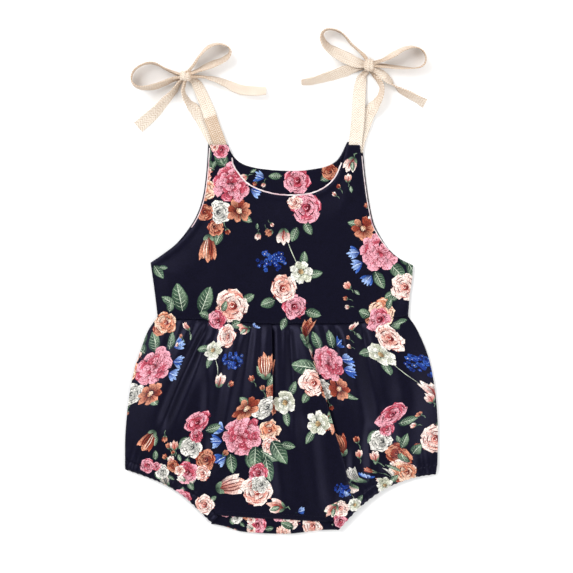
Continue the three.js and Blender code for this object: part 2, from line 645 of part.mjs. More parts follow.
// Each bow: a knot, and strands and straps that run up to it
function bow(side, { knot, strands, straps }) {
  addPiece(`bow_knot_${side}`, knotGeometry(knot, 0), cream);
  const hollow = solidOf(knotGeometry(knot, layerGap));
  const upToKnot = (rows) => geometryOf(solidOf(tapeGeometry(rows, tapeWall)).subtract(hollow));
  for (const [strand, rows] of Object.entries(strands)) {
    addPiece(`bow_${side}_${strand}`, upToKnot(rows), cream);
  }
  for (const [layer, rows] of Object.entries(straps)) {
    addPiece(`strap_${layer}_${side}`, upToKnot(rows), cream);
  }
}

addPiece('back_bodice', bodiceBack(), navyInside);
addPiece('back_bloomer', bloomerBack(), navyInside);
addPiece('crotch_flap', crotchFlap(), navy);
addPiece('front_bodice', bodiceFront(), navy);
addPiece('front_bloomer', bloomerFront(), navy);
legCasings();
facings();
bow('left', bows.left);
bow('right', bows.right);

export default romper;
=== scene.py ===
"""A baby romper with bow straps, laid flat and seen from straight above.

Tables are in millimetres, as the garment lies: +X right, +Y towards the bows, +Z up off the floor.
Blender's meshes are in metres.
"""
import math
import random

import bpy
import numpy as np
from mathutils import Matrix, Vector
from mathutils.bvhtree import BVHTree
from mathutils.geometry import delaunay_2d_cdt
from mathutils.kdtree import KDTree


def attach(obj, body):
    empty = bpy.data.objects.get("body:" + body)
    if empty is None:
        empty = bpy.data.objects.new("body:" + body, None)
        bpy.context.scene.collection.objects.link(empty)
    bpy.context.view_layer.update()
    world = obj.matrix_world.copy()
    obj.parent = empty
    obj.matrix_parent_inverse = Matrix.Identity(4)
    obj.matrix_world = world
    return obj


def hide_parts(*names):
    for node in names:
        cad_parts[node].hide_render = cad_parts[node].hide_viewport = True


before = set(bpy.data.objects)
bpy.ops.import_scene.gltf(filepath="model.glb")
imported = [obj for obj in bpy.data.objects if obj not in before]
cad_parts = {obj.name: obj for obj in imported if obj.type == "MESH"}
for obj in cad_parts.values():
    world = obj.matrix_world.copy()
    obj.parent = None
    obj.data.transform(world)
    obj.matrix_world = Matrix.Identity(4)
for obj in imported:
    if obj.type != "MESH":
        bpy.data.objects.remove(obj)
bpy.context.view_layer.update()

MM = 0.001

# Sizes shared with the frame
CLOTH_WALL = 1.2
LAYER_GAP = 0.3
SEAM_GAP = 0.3
FACING_WALL = 0.9
TAPE_WALL = 1.0
CASING_WIDTH = 8.0
RIPPLE_PITCH = 5.2
WAIST_CROWN = 2.4
BODICE_CROWN = 2.6
BLOOMER_CROWN = 11.0
EDGE_FADE = 26.0
WAIST_DRAW = 0.82  # how far the waist seam draws in the width of the hem
ARMHOLE_ROLL = 1.9
FLAP_TOP = 4.2
FRONT_FLOOR = CLOTH_WALL + LAYER_GAP
FACED_FLOOR = FRONT_FLOOR + FACING_WALL + LAYER_GAP
TIP_FLOOR = FRONT_FLOOR + 2 * (TAPE_WALL + LAYER_GAP)

# Looks
SHELL = 0.8  # thickness of the fabric shells
LAP_SIDES = (-0.8, -0.35, 0.0, 0.35, 0.8)  # rows of points beside the line of a lap
TUCK = 0.5  # how far one edge of a seam goes in under the other
FINE_STEP = 1.5  # spacing of the points on a face that shows
PLAIN_STEP = 2.6  # and on one that hides
GROUND = (0.0026, 0.0024, 0.0085)  # the print's near-black navy, linear
HERRINGBONE = (3.0, 2.3)  # width of a column of the tape's weave, and spacing of its ribs
GATHER_DEPTH = 1.15  # depth of a gather, as a share of its row's
FOLD_RISE = 1.45  # height of a long fold, as a share of its row's
GATHER_SHARE = 0.6  # the part of a gather's cloth that the print loses
EDGE_TOLERANCE = 0.07  # how far a thinned edge of the print may leave its line
SMALLEST_SEEN = 0.25  # area of the smallest shape of the print on the front
SMALLEST_HIDDEN = 2.6  # and on the back, which the romper lies on
CASING_RIPPLE = 0.95  # height of the ripples on the elastic tunnels
LEG_RIPPLE = (1.1, 12.0)  # height of the ripples that run on into the bloomer, and their reach
CASING_CROWN = 2.4  # the top of an elastic tunnel above the level that it lies on
CORNER_LAP = 0.7  # how far a tunnel laps over the bloomer's corner
CORNER_RUN = 12.0  # length over which a tunnel's inner edge bends to the bloomer's side

# Spots in a shell's bake map for its outer face, inner face and rim: width, height, left, bottom
BAKE_TWO_PRINTS = ((0.98, 0.475, 0.01, 0.51), (0.98, 0.455, 0.01, 0.04))
BAKE_ONE_PRINT = ((0.98, 0.68, 0.01, 0.31), (0.42, 0.26, 0.01, 0.04))
BAKE_RIM = (0.98, 0.02, 0.01, 0.008)

# Outlines, x and y
ARMHOLE_LEFT = [
    (-66.3, 127.9), (-66.9, 119), (-67.9, 103.2), (-70.8, 79.8), (-74.3, 66.9), (-79.6, 55.1),
    (-86.7, 44.6), (-96.1, 33.6), (-106.6, 25.3), (-119.5, 16.4),
]
SIDE_LEFT = [(-119.5, 16.4), (-117.3, 1.4), (-114.8, -17.6), (-113, -33.3)]
ARMHOLE_RIGHT = [
    (74.7, 127.5), (76.2, 115), (78, 97.4), (80.3, 79.8), (82.7, 65.8), (86.2, 51.6),
    (92.1, 40), (100.3, 28.1), (109.7, 20), (121.9, 14.1),
]
SIDE_RIGHT = [(121.9, 14.1), (120.8, 0), (119.1, -10.6), (117.3, -33)]
NECK_FRONT = [
    (-47.9, 124.6), (-45.5, 113.8), (-43.8, 105.6), (-38.5, 97.4), (-31.5, 89.6), (-22, 84),
    (-6.9, 79.4), (6, 78), (20.5, 78.4), (32.2, 81), (42.4, 86.4), (50.4, 94.5), (55.2, 104.5),
    (58.4, 113.7), (60.8, 124.6),
]
NECK_BACK = [
    (-50.5, 128), (-42.6, 113.5), (-35.1, 107.4), (-24.4, 103.9), (-12.7, 102.1), (2, 101),
    (17.9, 100.9), (32.2, 102.7), (42.5, 105), (52.4, 111), (61.5, 127.5),
]
WAIST_SEAM = [
    (-113.2, -33.4), (-96.3, -35.6), (-66.7, -36.9), (-23, -39.7), (0, -40.5), (24.9, -39.9),
    (67.2, -39.5), (90, -36.6), (117.3, -33),
]
BALLOON_LEFT = [
    (-113.2, -33.4), (-121.9, -46.5), (-128.7, -64.4), (-134.3, -81.4), (-138.5, -102.6),
    (-141.2, -123.7), (-142.8, -144.9), (-142.9, -165.2),
]
BALLOON_RIGHT = [
    (117.3, -33), (123.6, -41.9), (130.5, -55.7), (136.2, -71.3), (140.6, -91.2), (143.4, -113.6),
    (144.7, -137.5), (144.2, -169.4),
]
LEG_LEFT = [
    (-142.9, -173.6), (-131.5, -177.4), (-117.4, -182.6), (-104.7, -188.2), (-93.5, -194.8),
    (-83.6, -202.8), (-75.2, -210.9), (-68.1, -217.8), (-62.5, -223.2),
]
LEG_RIGHT = [
    (52.9, -229.6), (65.8, -215.4), (75.6, -206), (86.9, -197.2), (98, -190.4), (112.2, -184.4),
    (126.3, -180.4), (143.7, -177.8),
]
HEM_FRONT = [
    (-51.3, -216.2), (-34.5, -217.4), (-16.1, -218.5), (-0.5, -219), (13.3, -220), (27.7, -220.8),
    (42, -221.4),
]
CROTCH_FOLD = [
    (-60, -224.2), (-50.1, -226.4), (-37.3, -230.5), (-16.1, -232.4), (8.7, -232.8),
    (20.7, -231.6), (36, -229.6), (47, -229.2),
]
CROTCH_SEAM = [
    (-56.5, -216.5), (-44, -216.6), (-30, -216.9), (-15, -217.3), (0, -217.9), (15, -219),
    (30, -220.2), (46, -221.5),
]
FLAP_END = -206.0
FLAP_TAPER = 0.006
FLAP_PAST = (3.6, 5.2)  # how far the flap runs on under the left and right elastic tunnels

# Gathers of the waist seam: x at the seam, halfway and at the hem, depth, reach down,
# the cloth that the gather takes up
GATHERS = [
    (-105.3, -127, -136, 1.3, 0.30, 4), (-94.3, -119, -131, 1.8, 0.42, 6),
    (-87, -112, -127, 1.4, 0.30, 4), (-77.5, -104, -122, 1.7, 0.36, 5),
    (-66.7, -96, -115, 2.0, 0.50, 6), (-55.7, -82, -100, 1.2, 0.28, 4),
    (-43.7, -67, -83, 1.9, 0.40, 6), (-35.5, -53, -68, 1.7, 0.34, 4),
    (-26.2, -39, -52, 1.9, 0.44, 6), (-17, -25, -33, 1.6, 0.33, 4),
    (-7.8, -8.5, -12, 2.0, 0.50, 6), (0.5, 2, 4, 1.5, 0.35, 4), (8.3, 14, 22, 1.9, 0.42, 6),
    (13, 30, 43, 0.9, 0.20, 3), (19, 47.4, 64, 1.7, 0.50, 6), (29.9, 54, 71, 1.5, 0.33, 4),
    (38.2, 60, 78, 1.8, 0.40, 5), (49.2, 67, 85, 2.0, 0.45, 6), (61.2, 77, 94, 1.5, 0.32, 4),
    (74.1, 89, 104, 1.9, 0.42, 6), (87.9, 103, 116, 1.4, 0.34, 4), (102.6, 121, 130, 1.2, 0.28, 4),
]

# Long folds: x at the seam, halfway and at the hem, start and end down, height, half width
LONG_FOLDS = [
    (-66.7, -99, -121, 0.05, 0.72, -2.6, 5), (-60, -91, -112, 0.08, 0.70, 1.8, 5),
    (-66, -67, -70, 0.05, 0.60, -1.8, 5), (-36, -52, -66, 0.05, 0.62, 1.8, 6),
    (-44, -58, -72, 0.20, 0.85, -1.6, 6), (8, 13, 22, 0.02, 0.60, -1.6, 4.5),
    (50, 54, 66, 0.05, 0.40, -2.0, 5), (58, 74, 88, 0.04, 0.72, 2.2, 7),
    (70, 88, 100, 0.04, 0.66, -1.8, 6), (48, 62, 68, 0.72, 0.97, -1.8, 4),
    (-96, -124, -134, 0.05, 0.55, -1.3, 6), (-20, -28, -36, 0.05, 0.45, 1.2, 6),
    (22, 26, 36, 0.50, 0.97, 2.2, 9), (-4, -4, 6, 0.40, 0.95, -2.2, 8),
    (96, 112, 122, 0.05, 0.60, -1.4, 7), (70, 78, 84, 0.62, 0.98, -1.6, 4),
    (86, 96, 104, 0.55, 0.95, 1.4, 6), (-60, -66, -76, 0.62, 0.97, 1.3, 6),
]

# Folds that lap over the cloth to their right: x at the seam, halfway and at the hem,
# start and end down, rise on the left, drop on the right, cloth that the lap hides
LAPS = [
    (-8.5, -7.5, -9, 0.00, 0.50, 2.2, 2.0, 13),
    (16.5, 47.4, 66, 0.00, 0.97, 2.4, 2.4, 15),
]

# Soft creases of the bodice: rise, a point on the crease, its slope, half width, middle x, reach
BODICE_CREASES = [(0.5, 40, -8, 0.35, 9, 78, 26), (0.4, -70, 30, -0.5, 8, -84, 22)]


def clamp(value, low=0.0, high=1.0):
    return np.minimum(np.maximum(value, low), high)


def smooth(share):
    t = clamp(np.asarray(share, dtype=float))
    return t * t * (3 - 2 * t)


def through(row, share):
    """The value at a share of the way along the row's first three, evenly spaced."""
    start, middle, end = row[:3]
    t = share
    return start * (1 - t) * (1 - 2 * t) + middle * 4 * t * (1 - t) + end * t * (2 * t - 1)


def curve_through(rows, per_span=24):
    """Points on a centripetal Catmull-Rom curve through rows of x and y."""
    points = np.array(rows, dtype=float)[:, :2]
    ends = [2 * points[0] - points[1], 2 * points[-1] - points[-2]]
    padded = np.vstack([ends[0], points, ends[1]])
    fine = []
    for p0, p1, p2, p3 in zip(padded, padded[1:], padded[2:], padded[3:]):
        knots = np.cumsum([0] + [math.sqrt(max(np.linalg.norm(b - a), 1e-6))
                                 for a, b in ((p0, p1), (p1, p2), (p2, p3))])
        t = np.linspace(knots[1], knots[2], per_span, endpoint=False)[:, None]
        a1 = (knots[1] - t) / (knots[1] - knots[0]) * p0 + (t - knots[0]) / (knots[1] - knots[0]) * p1
        a2 = (knots[2] - t) / (knots[2] - knots[1]) * p1 + (t - knots[1]) / (knots[2] - knots[1]) * p2
        a3 = (knots[3] - t) / (knots[3] - knots[2]) * p2 + (t - knots[2]) / (knots[3] - knots[2]) * p3
        b1 = (knots[2] - t) / (knots[2] - knots[0]) * a1 + (t - knots[0]) / (knots[2] - knots[0]) * a2
        b2 = (knots[3] - t) / (knots[3] - knots[1]) * a2 + (t - knots[1]) / (knots[3] - knots[1]) * a3
        fine.append((knots[2] - t) / (knots[2] - knots[1]) * b1
                    + (t - knots[1]) / (knots[2] - knots[1]) * b2)
    return np.vstack(fine + [points[-1:]])


def run_along(line):
    """The distance of each point of a line from its start."""
    return np.concatenate([[0], np.cumsum(np.linalg.norm(np.diff(line[:, :2], axis=0), axis=1))])


def evenly(table, spacing):
    """The rows of a table, taken again at an even spacing along its x and y."""
    run = run_along(table)
    places = np.linspace(0, run[-1], max(int(run[-1] / spacing), 1) + 1)
    return np.column_stack([np.interp(places, run, column) for column in table.T])


def smooth_line(rows, spacing=1.0):
    return evenly(curve_through(rows), spacing)


def beside(line, distance):
    """The line moved to its left."""
    tangents = np.gradient(line, axis=0)
    tangents /= np.linalg.norm(tangents, axis=1)[:, None]
    return line + np.column_stack([-tangents[:, 1], tangents[:, 0]]) * distance


def nearest(line, x, y):
    """Distance of each point to a line, and the place along the line, in mm."""
    a, b = line[:-1], line[1:]
    along = b - a
    lengths = np.maximum(np.linalg.norm(along, axis=1), 1e-9)
    starts = np.concatenate([[0], np.cumsum(lengths)[:-1]])
    best = np.full(len(x), 1e9)
    place = np.zeros(len(x))
    for first in range(0, len(a), 40):
        part = slice(first, first + 40)
        dx, dy = x[:, None] - a[part, 0], y[:, None] - a[part, 1]
        t = clamp((dx * along[part, 0] + dy * along[part, 1]) / lengths[part] ** 2)
        away = np.hypot(dx - t * along[part, 0], dy - t * along[part, 1])
        pick = np.argmin(away, axis=1)
        rows = np.arange(len(x))
        closer = away[rows, pick] < best
        best = np.where(closer, away[rows, pick], best)
        place = np.where(closer, (starts[part] + t * lengths[part])[rows, pick], place)
    return best, place


def ripple_noise(x, y, scale, seed):
    """Soft uneven waves from a few sines, between about -1 and 1."""
    rng = random.Random(seed)
    total = np.zeros(len(x))
    for _ in range(5):
        turn = rng.uniform(0, 2 * math.pi)
        pitch = scale * rng.uniform(0.7, 1.5)
        total += np.sin((x * math.cos(turn) + y * math.sin(turn)) * 2 * math.pi / pitch
                        + rng.uniform(0, 6.28))
    return total / 3


# Lines that the pieces share
neck_front = smooth_line(NECK_FRONT)
neck_back = smooth_line(NECK_BACK)
waist_seam = smooth_line(WAIST_SEAM)
armhole_left, armhole_right = smooth_line(ARMHOLE_LEFT), smooth_line(ARMHOLE_RIGHT)
side_left, side_right = smooth_line(SIDE_LEFT), smooth_line(SIDE_RIGHT)
balloon_left, balloon_right = smooth_line(BALLOON_LEFT), smooth_line(BALLOON_RIGHT)
leg_lines = {"left": smooth_line(LEG_LEFT), "right": smooth_line(LEG_RIGHT)}


def rolled_armhole(rows, sign):
    last = len(rows) - 1
    moved = []
    for order, (x, y) in enumerate(rows):
        fade = float(smooth((last - order) / 4))
        drop = 1.6 if order == 0 else 0.4
        moved.append((x + sign * ARMHOLE_ROLL * fade, y - ARMHOLE_ROLL * fade * drop))
    return smooth_line(moved)


armhole_front = {"left": rolled_armhole(ARMHOLE_LEFT, 1), "right": rolled_armhole(ARMHOLE_RIGHT, -1)}


def panel_hem(middle):
    """The lower edge of a bloomer panel, left to right."""
    edges = []
    for leg in leg_lines.values():
        inner = beside(leg, CASING_WIDTH - TUCK / 2)
        cut = max(int(0.05 * len(inner)), 1)
        edges.append(inner[cut:-cut])
    return np.vstack([balloon_left[-1:], edges[0], smooth_line(middle), edges[1], balloon_right[-1:]])


front_hem = panel_hem(HEM_FRONT)
back_hem = panel_hem(CROTCH_SEAM)


def bloomer_ends(x, hem):
    """The y of the waist seam and of the hem for each x at the hem."""
    order = np.argsort(hem[:, 0])
    top = np.interp(x * WAIST_DRAW, waist_seam[:, 0], waist_seam[:, 1])
    return top, np.interp(x, hem[order, 0], hem[order, 1])


def bloomer_share(x, y, hem):
    """How far down the bloomer a point is, 0 at the waist seam and 1 at the hem."""
    top, bottom = bloomer_ends(x, hem)
    return clamp((top - y) / (top - bottom))


def bloomer_sides(y):
    left = np.interp(-y, -balloon_left[:, 1], balloon_left[:, 0])
    right = np.interp(-y, -balloon_right[:, 1], balloon_right[:, 0])
    return left, right


def ripples_along(place, seed):
    """Uneven ripples along a leg's elastic."""
    uneven = place + 1.3 * np.sin(place * 0.31 + seed) + 0.9 * np.sin(place * 0.83 + 2 * seed)
    size = 0.65 + 0.35 * np.sin(place * 0.21 + seed)
    return size * np.cos(2 * math.pi * uneven / RIPPLE_PITCH)


def leg_ripples(x, y, reach):
    """The ripples that run in from the elastic of both legs, fading over the reach."""
    height = np.zeros(len(x))
    for seed, line in enumerate(leg_lines.values()):
        away, place = nearest(line, x, y)
        height += ripples_along(place, seed) * np.exp(-away / reach)
    return height


def fold_ends(share, start, end, run_in=0.12, run_out=0.18, past=0.06):
    """1 between a fold's ends, running in from and out to 0."""
    return smooth((share - start + 0.06) / run_in) * smooth((end - share + past) / run_out)


def lap_ends(share, row):
    return fold_ends(share, row[3], row[4], 0.1, 0.16, 0.04)


def bloomer_folds(x, share):
    """Gathers, long folds and laps as a height."""
    height = np.zeros(len(x))
    gather_width = 2.5 + 8 * share
    for row in GATHERS:
        depth, reach = row[3], row[4]
        away = (x - through(row, share)) / gather_width
        height -= GATHER_DEPTH * depth * np.exp(-away ** 2) * smooth(1 - share / (reach * 1.6))
    for row in LONG_FOLDS:
        start, end, rise, half = row[3:7]
        away = (x - through(row, share)) / half
        height += FOLD_RISE * rise * np.exp(-away ** 2) * fold_ends(share, start, end)
    for row in LAPS:
        rise, drop = row[5:7]
        away = x - through(row, share)
        over = rise * np.exp(-clamp(-away, 0, 99) / 9)
        under = -drop * np.exp(-clamp(away, 0, 99) / 6)
        height += lap_ends(share, row) * (over + (under - over) * smooth((away + 0.35) / 0.7))
    return height


def casing_rest(side, place):
    """The level that an elastic tunnel lies on, rising over the flap at the crotch."""
    length = run_along(leg_lines[side])[-1]
    crotch_share = 1 if side == "left" else 0
    fall = smooth(abs(place / length - crotch_share) * 1.15 - 0.15)
    return FLAP_TOP + LAYER_GAP + (FRONT_FLOOR - FLAP_TOP - LAYER_GAP) * fall


def front_bloomer_height(x, y):
    share = bloomer_share(x, y, front_hem)
    left, right = bloomer_sides(y)
    inside = smooth(np.minimum(x - left, right - x) / EDGE_FADE)
    across = 1 - ((2 * x - left - right) / (right - left)) ** 4
    waist_top = FRONT_FLOOR + CLOTH_WALL + WAIST_CROWN * inside
    hem_top = FRONT_FLOOR + CLOTH_WALL + (FLAP_TOP - FRONT_FLOOR + LAYER_GAP) * inside
    puff = BLOOMER_CROWN * across * np.sin(math.pi * share ** 0.75)
    sewn = (0.55 + 0.45 * smooth(share / 0.06)) * smooth((1 - share) / 0.05)
    folds = bloomer_folds(x, share) * inside * sewn
    soft = 0.35 * ripple_noise(x, y, 38, 5) * inside * np.sin(math.pi * share)
    legs = LEG_RIPPLE[0] * leg_ripples(x, y, LEG_RIPPLE[1]) * smooth(np.minimum(x - left, right - x) / 6)
    height = waist_top + (hem_top - waist_top) * smooth(share) + puff
    for side, line in leg_lines.items():
        away, place = nearest(line, x, y)
        near_leg = np.exp(-(np.maximum(away - CASING_WIDTH, 0) / 9) ** 2)
        height += (casing_rest(side, place) + CASING_CROWN - height) * near_leg
    height = np.maximum(height + folds + soft + legs, FRONT_FLOOR + CLOTH_WALL)
    height -= 0.9 * np.exp(-(nearest(waist_seam, x, y)[0] / 0.9) ** 2)
    return height - 0.35 * np.exp(-(nearest(front_hem, x, y)[0] / 0.8) ** 2)


def front_bloomer_face(x, y):
    """The outer face, with the edge of each lap pushed out over what it covers."""
    share = bloomer_share(x, y, front_hem)
    shift = np.zeros(len(x))
    for row in LAPS:
        away = x - through(row, share)
        pushed = 0.8 * np.exp(-((away + 0.35) / 0.5) ** 2)
        drawn_back = 0.3 * np.exp(-((away - 0.35) / 0.4) ** 2)
        shift += lap_ends(share, row) * (pushed - drawn_back)
    return np.column_stack([x + shift, y, front_bloomer_height(x, y)])


def bodice_edges(x, y, armholes):
    sides = np.minimum(nearest(side_left, x, y)[0], nearest(side_right, x, y)[0])
    arms = np.minimum(nearest(armholes["left"], x, y)[0], nearest(armholes["right"], x, y)[0])
    return sides, arms, nearest(waist_seam, x, y)[0]


def front_bodice_height(x, y):
    sides, arms, waist = bodice_edges(x, y, armhole_front)
    neck = nearest(neck_front, x, y)[0]
    low_side = (FACED_FLOOR - FRONT_FLOOR) * (1 - smooth(sides / 14))
    inner = smooth(np.minimum(sides, arms) / EDGE_FADE)
    low_waist = (FACED_FLOOR - FRONT_FLOOR - WAIST_CROWN * inner) * (1 - smooth(waist / 30))
    tip = (TIP_FLOOR - FACED_FLOOR) * smooth((y - 96) / 18)
    crown = BODICE_CROWN * smooth(np.minimum(np.minimum(sides, arms), neck) / 30) * smooth(waist / 30)
    soft = 0.22 * ripple_noise(x, y, 46, 9) * smooth(np.minimum(sides, np.minimum(arms, neck)) / 12)
    creases = np.zeros(len(x))
    for rise, at_x, at_y, slope, half, middle, reach in BODICE_CREASES:
        off_line = (y - at_y - slope * (x - at_x)) / half
        creases += rise * np.exp(-off_line ** 2) * np.exp(-((x - middle) / reach) ** 2)
    edge = np.minimum(arms, neck)
    roll = 0.35 * np.exp(-((edge - 3.2) / 1.5) ** 2) - 0.15 * np.exp(-(edge / 1.0) ** 2)
    base = FACED_FLOOR + CLOTH_WALL - np.maximum(low_side, low_waist)
    return base + tip + crown + soft + creases + roll


# The print: motifs of the romper's own design, as flat shapes with a colour that runs from a
# root to a tip. Colours are sRGB.
PINK = ((240, 172, 186), (200, 88, 106), (140, 32, 42), (70, 10, 16))
PEACH = ((250, 218, 192), (226, 150, 116), (168, 70, 46), (76, 20, 16))
RUST = ((218, 148, 118), (154, 68, 46), (104, 32, 24), (42, 12, 12))
WHITE = ((246, 242, 234), (204, 202, 194), (128, 128, 120), (40, 42, 44))
CORAL = ((254, 236, 226), (240, 184, 168), (186, 80, 66), (92, 24, 24))
BLUE = ((158, 188, 240), (56, 98, 184), (22, 52, 132), (4, 12, 50))
LEAF = ((134, 158, 130), (76, 104, 80), (38, 60, 46), (202, 214, 192))


class Sketch:
    """Shapes in drawing order: outline, root and tip colours, root and tip points."""

    def __init__(self, seed):
        self.rng = random.Random(seed)
        self.shapes = []

    def add(self, outline, root_colour, tip_colour, root, tip):
        points = np.array(outline, dtype=float)
        if outline_area(points) < 0:
            points = points[::-1]
        self.shapes.append((points, root_colour, tip_colour,
                            np.array(root, dtype=float), np.array(tip, dtype=float)))

    def petal(self, x, y, turn, length, width, root_colour, tip_colour, blunt=0.62, ruffle=0.05,
              points=11):
        """A petal from (x, y) along turn, widest at the blunt share of its length."""
        cos, sin = math.cos(turn), math.sin(turn)
        outline = []
        for step in range(points):
            angle = 2 * math.pi * step / points
            share = (1 - math.cos(angle)) / 2
            along = length * share
            swell = math.sin(math.pi * share ** (math.log(0.5) / math.log(blunt))) ** 0.7
            side = math.copysign(1, math.sin(angle)) * width / 2 * swell
            jitter = 1 + self.rng.uniform(-ruffle, ruffle)
            outline.append((x + jitter * (along * cos - side * sin),
                            y + jitter * (along * sin + side * cos)))
        tip = (x + length * cos, y + length * sin)
        self.add(outline, root_colour, tip_colour, (x, y), tip)

    def stroke(self, points, width, colour, end_colour=None):
        """A thin strip along points, tapered at its ends."""
        line = np.array(points, dtype=float)
        tangents = np.gradient(line, axis=0)
        tangents /= np.maximum(np.linalg.norm(tangents, axis=1), 1e-6)[:, None]
        share = np.linspace(0, 1, len(line))
        half = width / 2 * (0.35 + 0.65 * np.sin(math.pi * share))[:, None]
        side = np.column_stack([-tangents[:, 1], tangents[:, 0]]) * half
        outline = np.vstack([line + side, (line - side)[::-1]])
        self.add(outline, colour, end_colour or colour, line[0], line[-1])

    def blob(self, x, y, radius, colour, tip_colour=None, points=7):
        start = self.rng.uniform(0, 1)
        outline = []
        for step in range(points):
            angle = 2 * math.pi * (step + start) / points
            r = radius * self.rng.uniform(0.8, 1.12)
            outline.append((x + r * math.cos(angle), y + r * math.sin(angle)))
        self.add(outline, colour, tip_colour or colour, (x - radius, y), (x + radius, y))

    def arc(self, x, y, radius, start, end, width, colour):
        angles = np.linspace(start, end, 7)
        self.stroke(np.column_stack([x + radius * np.cos(angles), y + radius * np.sin(angles)]),
                    width, colour)


def full_petal(s, x, y, turn, length, width, shades, streaks=2, blunt=0.68):
    """A petal with a pale lip, a shaded root and brushed streaks."""
    light, mid, deep, dark = shades
    tip = s.rng.choice((light, light, mid))
    s.petal(x, y, turn, length, width, s.rng.choice((deep, dark, deep)), tip, blunt, 0.08)
    cos, sin = math.cos(turn), math.sin(turn)

    def at(along, side):
        return (x + along * cos - side * sin, y + along * sin + side * cos)

    for _ in range(streaks):
        side = s.rng.uniform(-0.28, 0.28) * width
        reach = s.rng.uniform(0.5, 0.84) * length
        bend = s.rng.uniform(-0.06, 0.06) * width
        s.stroke([at(0.16 * length, side * 0.4), at(0.6 * reach, side + bend), at(reach, side * 1.1)],
                 width * s.rng.uniform(0.05, 0.11), s.rng.choice((dark, deep, deep)), mid)
    lip = width * s.rng.uniform(0.22, 0.34)
    s.stroke([at(length * 0.8, -lip), at(length * 0.95, 0), at(length * 0.82, lip)], width * 0.1, light)


def ring_of(s, count, inner, outer, width, shades, streaks=2, start=None):
    """Petals round the middle, from an inner to an outer radius."""
    start = s.rng.uniform(0, 6.28) if start is None else start
    for k in range(count):
        turn = start + 2 * math.pi * k / count + s.rng.uniform(-0.13, 0.13)
        reach = outer * s.rng.uniform(0.92, 1.06)
        full_petal(s, math.cos(turn) * inner, math.sin(turn) * inner, turn, reach - inner,
                   width * s.rng.uniform(0.85, 1.12), shades, streaks)


def flecks(s, count, low, high, shades):
    """Short strokes scattered round the middle."""
    deep, dark = shades[2:]
    for _ in range(count):
        turn, reach = s.rng.uniform(0, 6.28), s.rng.uniform(low, high)
        lean = turn + s.rng.uniform(-0.7, 0.7)
        s.petal(reach * math.cos(turn), reach * math.sin(turn), lean, s.rng.uniform(1.2, 2.4),
                s.rng.uniform(0.5, 0.9), s.rng.choice((dark, dark, deep)), deep, points=6)


def peony(s, r, shades=PINK):
    ring_of(s, 9, r * 0.42, r, r * 0.6, shades)
    ring_of(s, 10, r * 0.34, r * 0.84, r * 0.44, shades)
    ring_of(s, 9, r * 0.22, r * 0.66, r * 0.38, shades)
    ring_of(s, 8, r * 0.1, r * 0.48, r * 0.3, shades)
    ring_of(s, 6, 0, r * 0.31, r * 0.24, shades, 1)
    flecks(s, int(r * 7), r * 0.1, r * 0.88, shades)


def rose(s, r, shades, turn=0.0):
    light, mid, deep, dark = shades
    ring_of(s, 5, 0, r, r * 1.05, shades, 3, turn)
    ring_of(s, 5, 0, r * 0.78, r * 0.74, shades, 2, turn + 0.6)
    for k in range(5):
        angle = turn + 0.9 + 2 * math.pi * k / 5
        s.arc(0, 0, r * 0.74, angle - 0.4, angle + 0.35, r * 0.06, s.rng.choice((deep, dark)))
    ring_of(s, 4, 0, r * 0.54, r * 0.56, shades, 2, turn + 0.2)
    for k in range(4):
        angle = turn + 0.5 + 2 * math.pi * k / 4
        s.arc(0, 0, r * 0.5, angle - 0.5, angle + 0.45, r * 0.07, dark)
    s.blob(r * 0.04, 0, r * 0.27, deep, dark, points=9)
    s.arc(0, 0, r * 0.19, 0.4, 4.4, r * 0.07, mid)
    s.arc(0, 0, r * 0.09, 2.4, 6.6, r * 0.05, light)
    flecks(s, int(r * 3), r * 0.3, r * 0.9, shades)


def daisy(s, r, shades=RUST, heart=((250, 232, 206), (206, 150, 110))):
    deep, dark = shades[2:]
    ring_of(s, 8, r * 0.08, r, r * 0.62, shades, 3)
    s.blob(0, 0, r * 0.3, dark, deep, points=9)
    s.blob(0, 0, r * 0.24, heart[0], heart[1], points=9)
    for k in range(7):
        s.blob(math.cos(k * 0.9) * r * 0.16, math.sin(k * 0.9) * r * 0.16, r * 0.045, deep, points=5)


def tulip(s, length, width, shades=RUST):
    petals = (
        (0.32, 0.92, 0.5), (-0.32, 0.95, 0.5), (0.02, 1.0, 0.56), (0.17, 0.9, 0.42), (-0.18, 0.86, 0.42),
    )
    for tilt, reach, wide in petals:
        full_petal(s, 0, 0, math.pi / 2 + tilt, length * reach, width * wide, shades, 3, 0.52)
    for shift in (-0.26, -0.06, 0.12, 0.3):
        x = shift * width
        s.stroke([(x * 0.5, length * 0.14), (x, length * 0.5), (x * 0.8, length * 0.86)],
                 width * 0.06, s.rng.choice((shades[3], (252, 232, 214))))
    for turn in (0.9, 2.2):
        s.petal(0, -length * 0.04, turn, length * 0.32, width * 0.28, LEAF[2], LEAF[0], blunt=0.5)


def bud(s, length, shades=CORAL, stalk=1.0):
    deep, dark = shades[2:]
    if stalk:
        s.stroke([(0, 0), (length * 0.12, -length * 0.5 * stalk), (0, -length * stalk)],
                 max(length * 0.08, 0.7), LEAF[1], LEAF[0])
    for tilt, reach in ((0.36, 0.88), (-0.36, 0.92), (0, 1)):
        full_petal(s, 0, 0, math.pi / 2 + tilt, length * reach, length * 0.44, shades, 1, 0.52)
    s.stroke([(0, length * 0.12), (length * 0.05, length * 0.5), (0, length * 0.72)],
             length * 0.11, dark, deep)
    for turn in (0.8, 2.35):
        s.petal(0, -length * 0.02, turn, length * 0.42, length * 0.16, LEAF[2], LEAF[0], blunt=0.45)


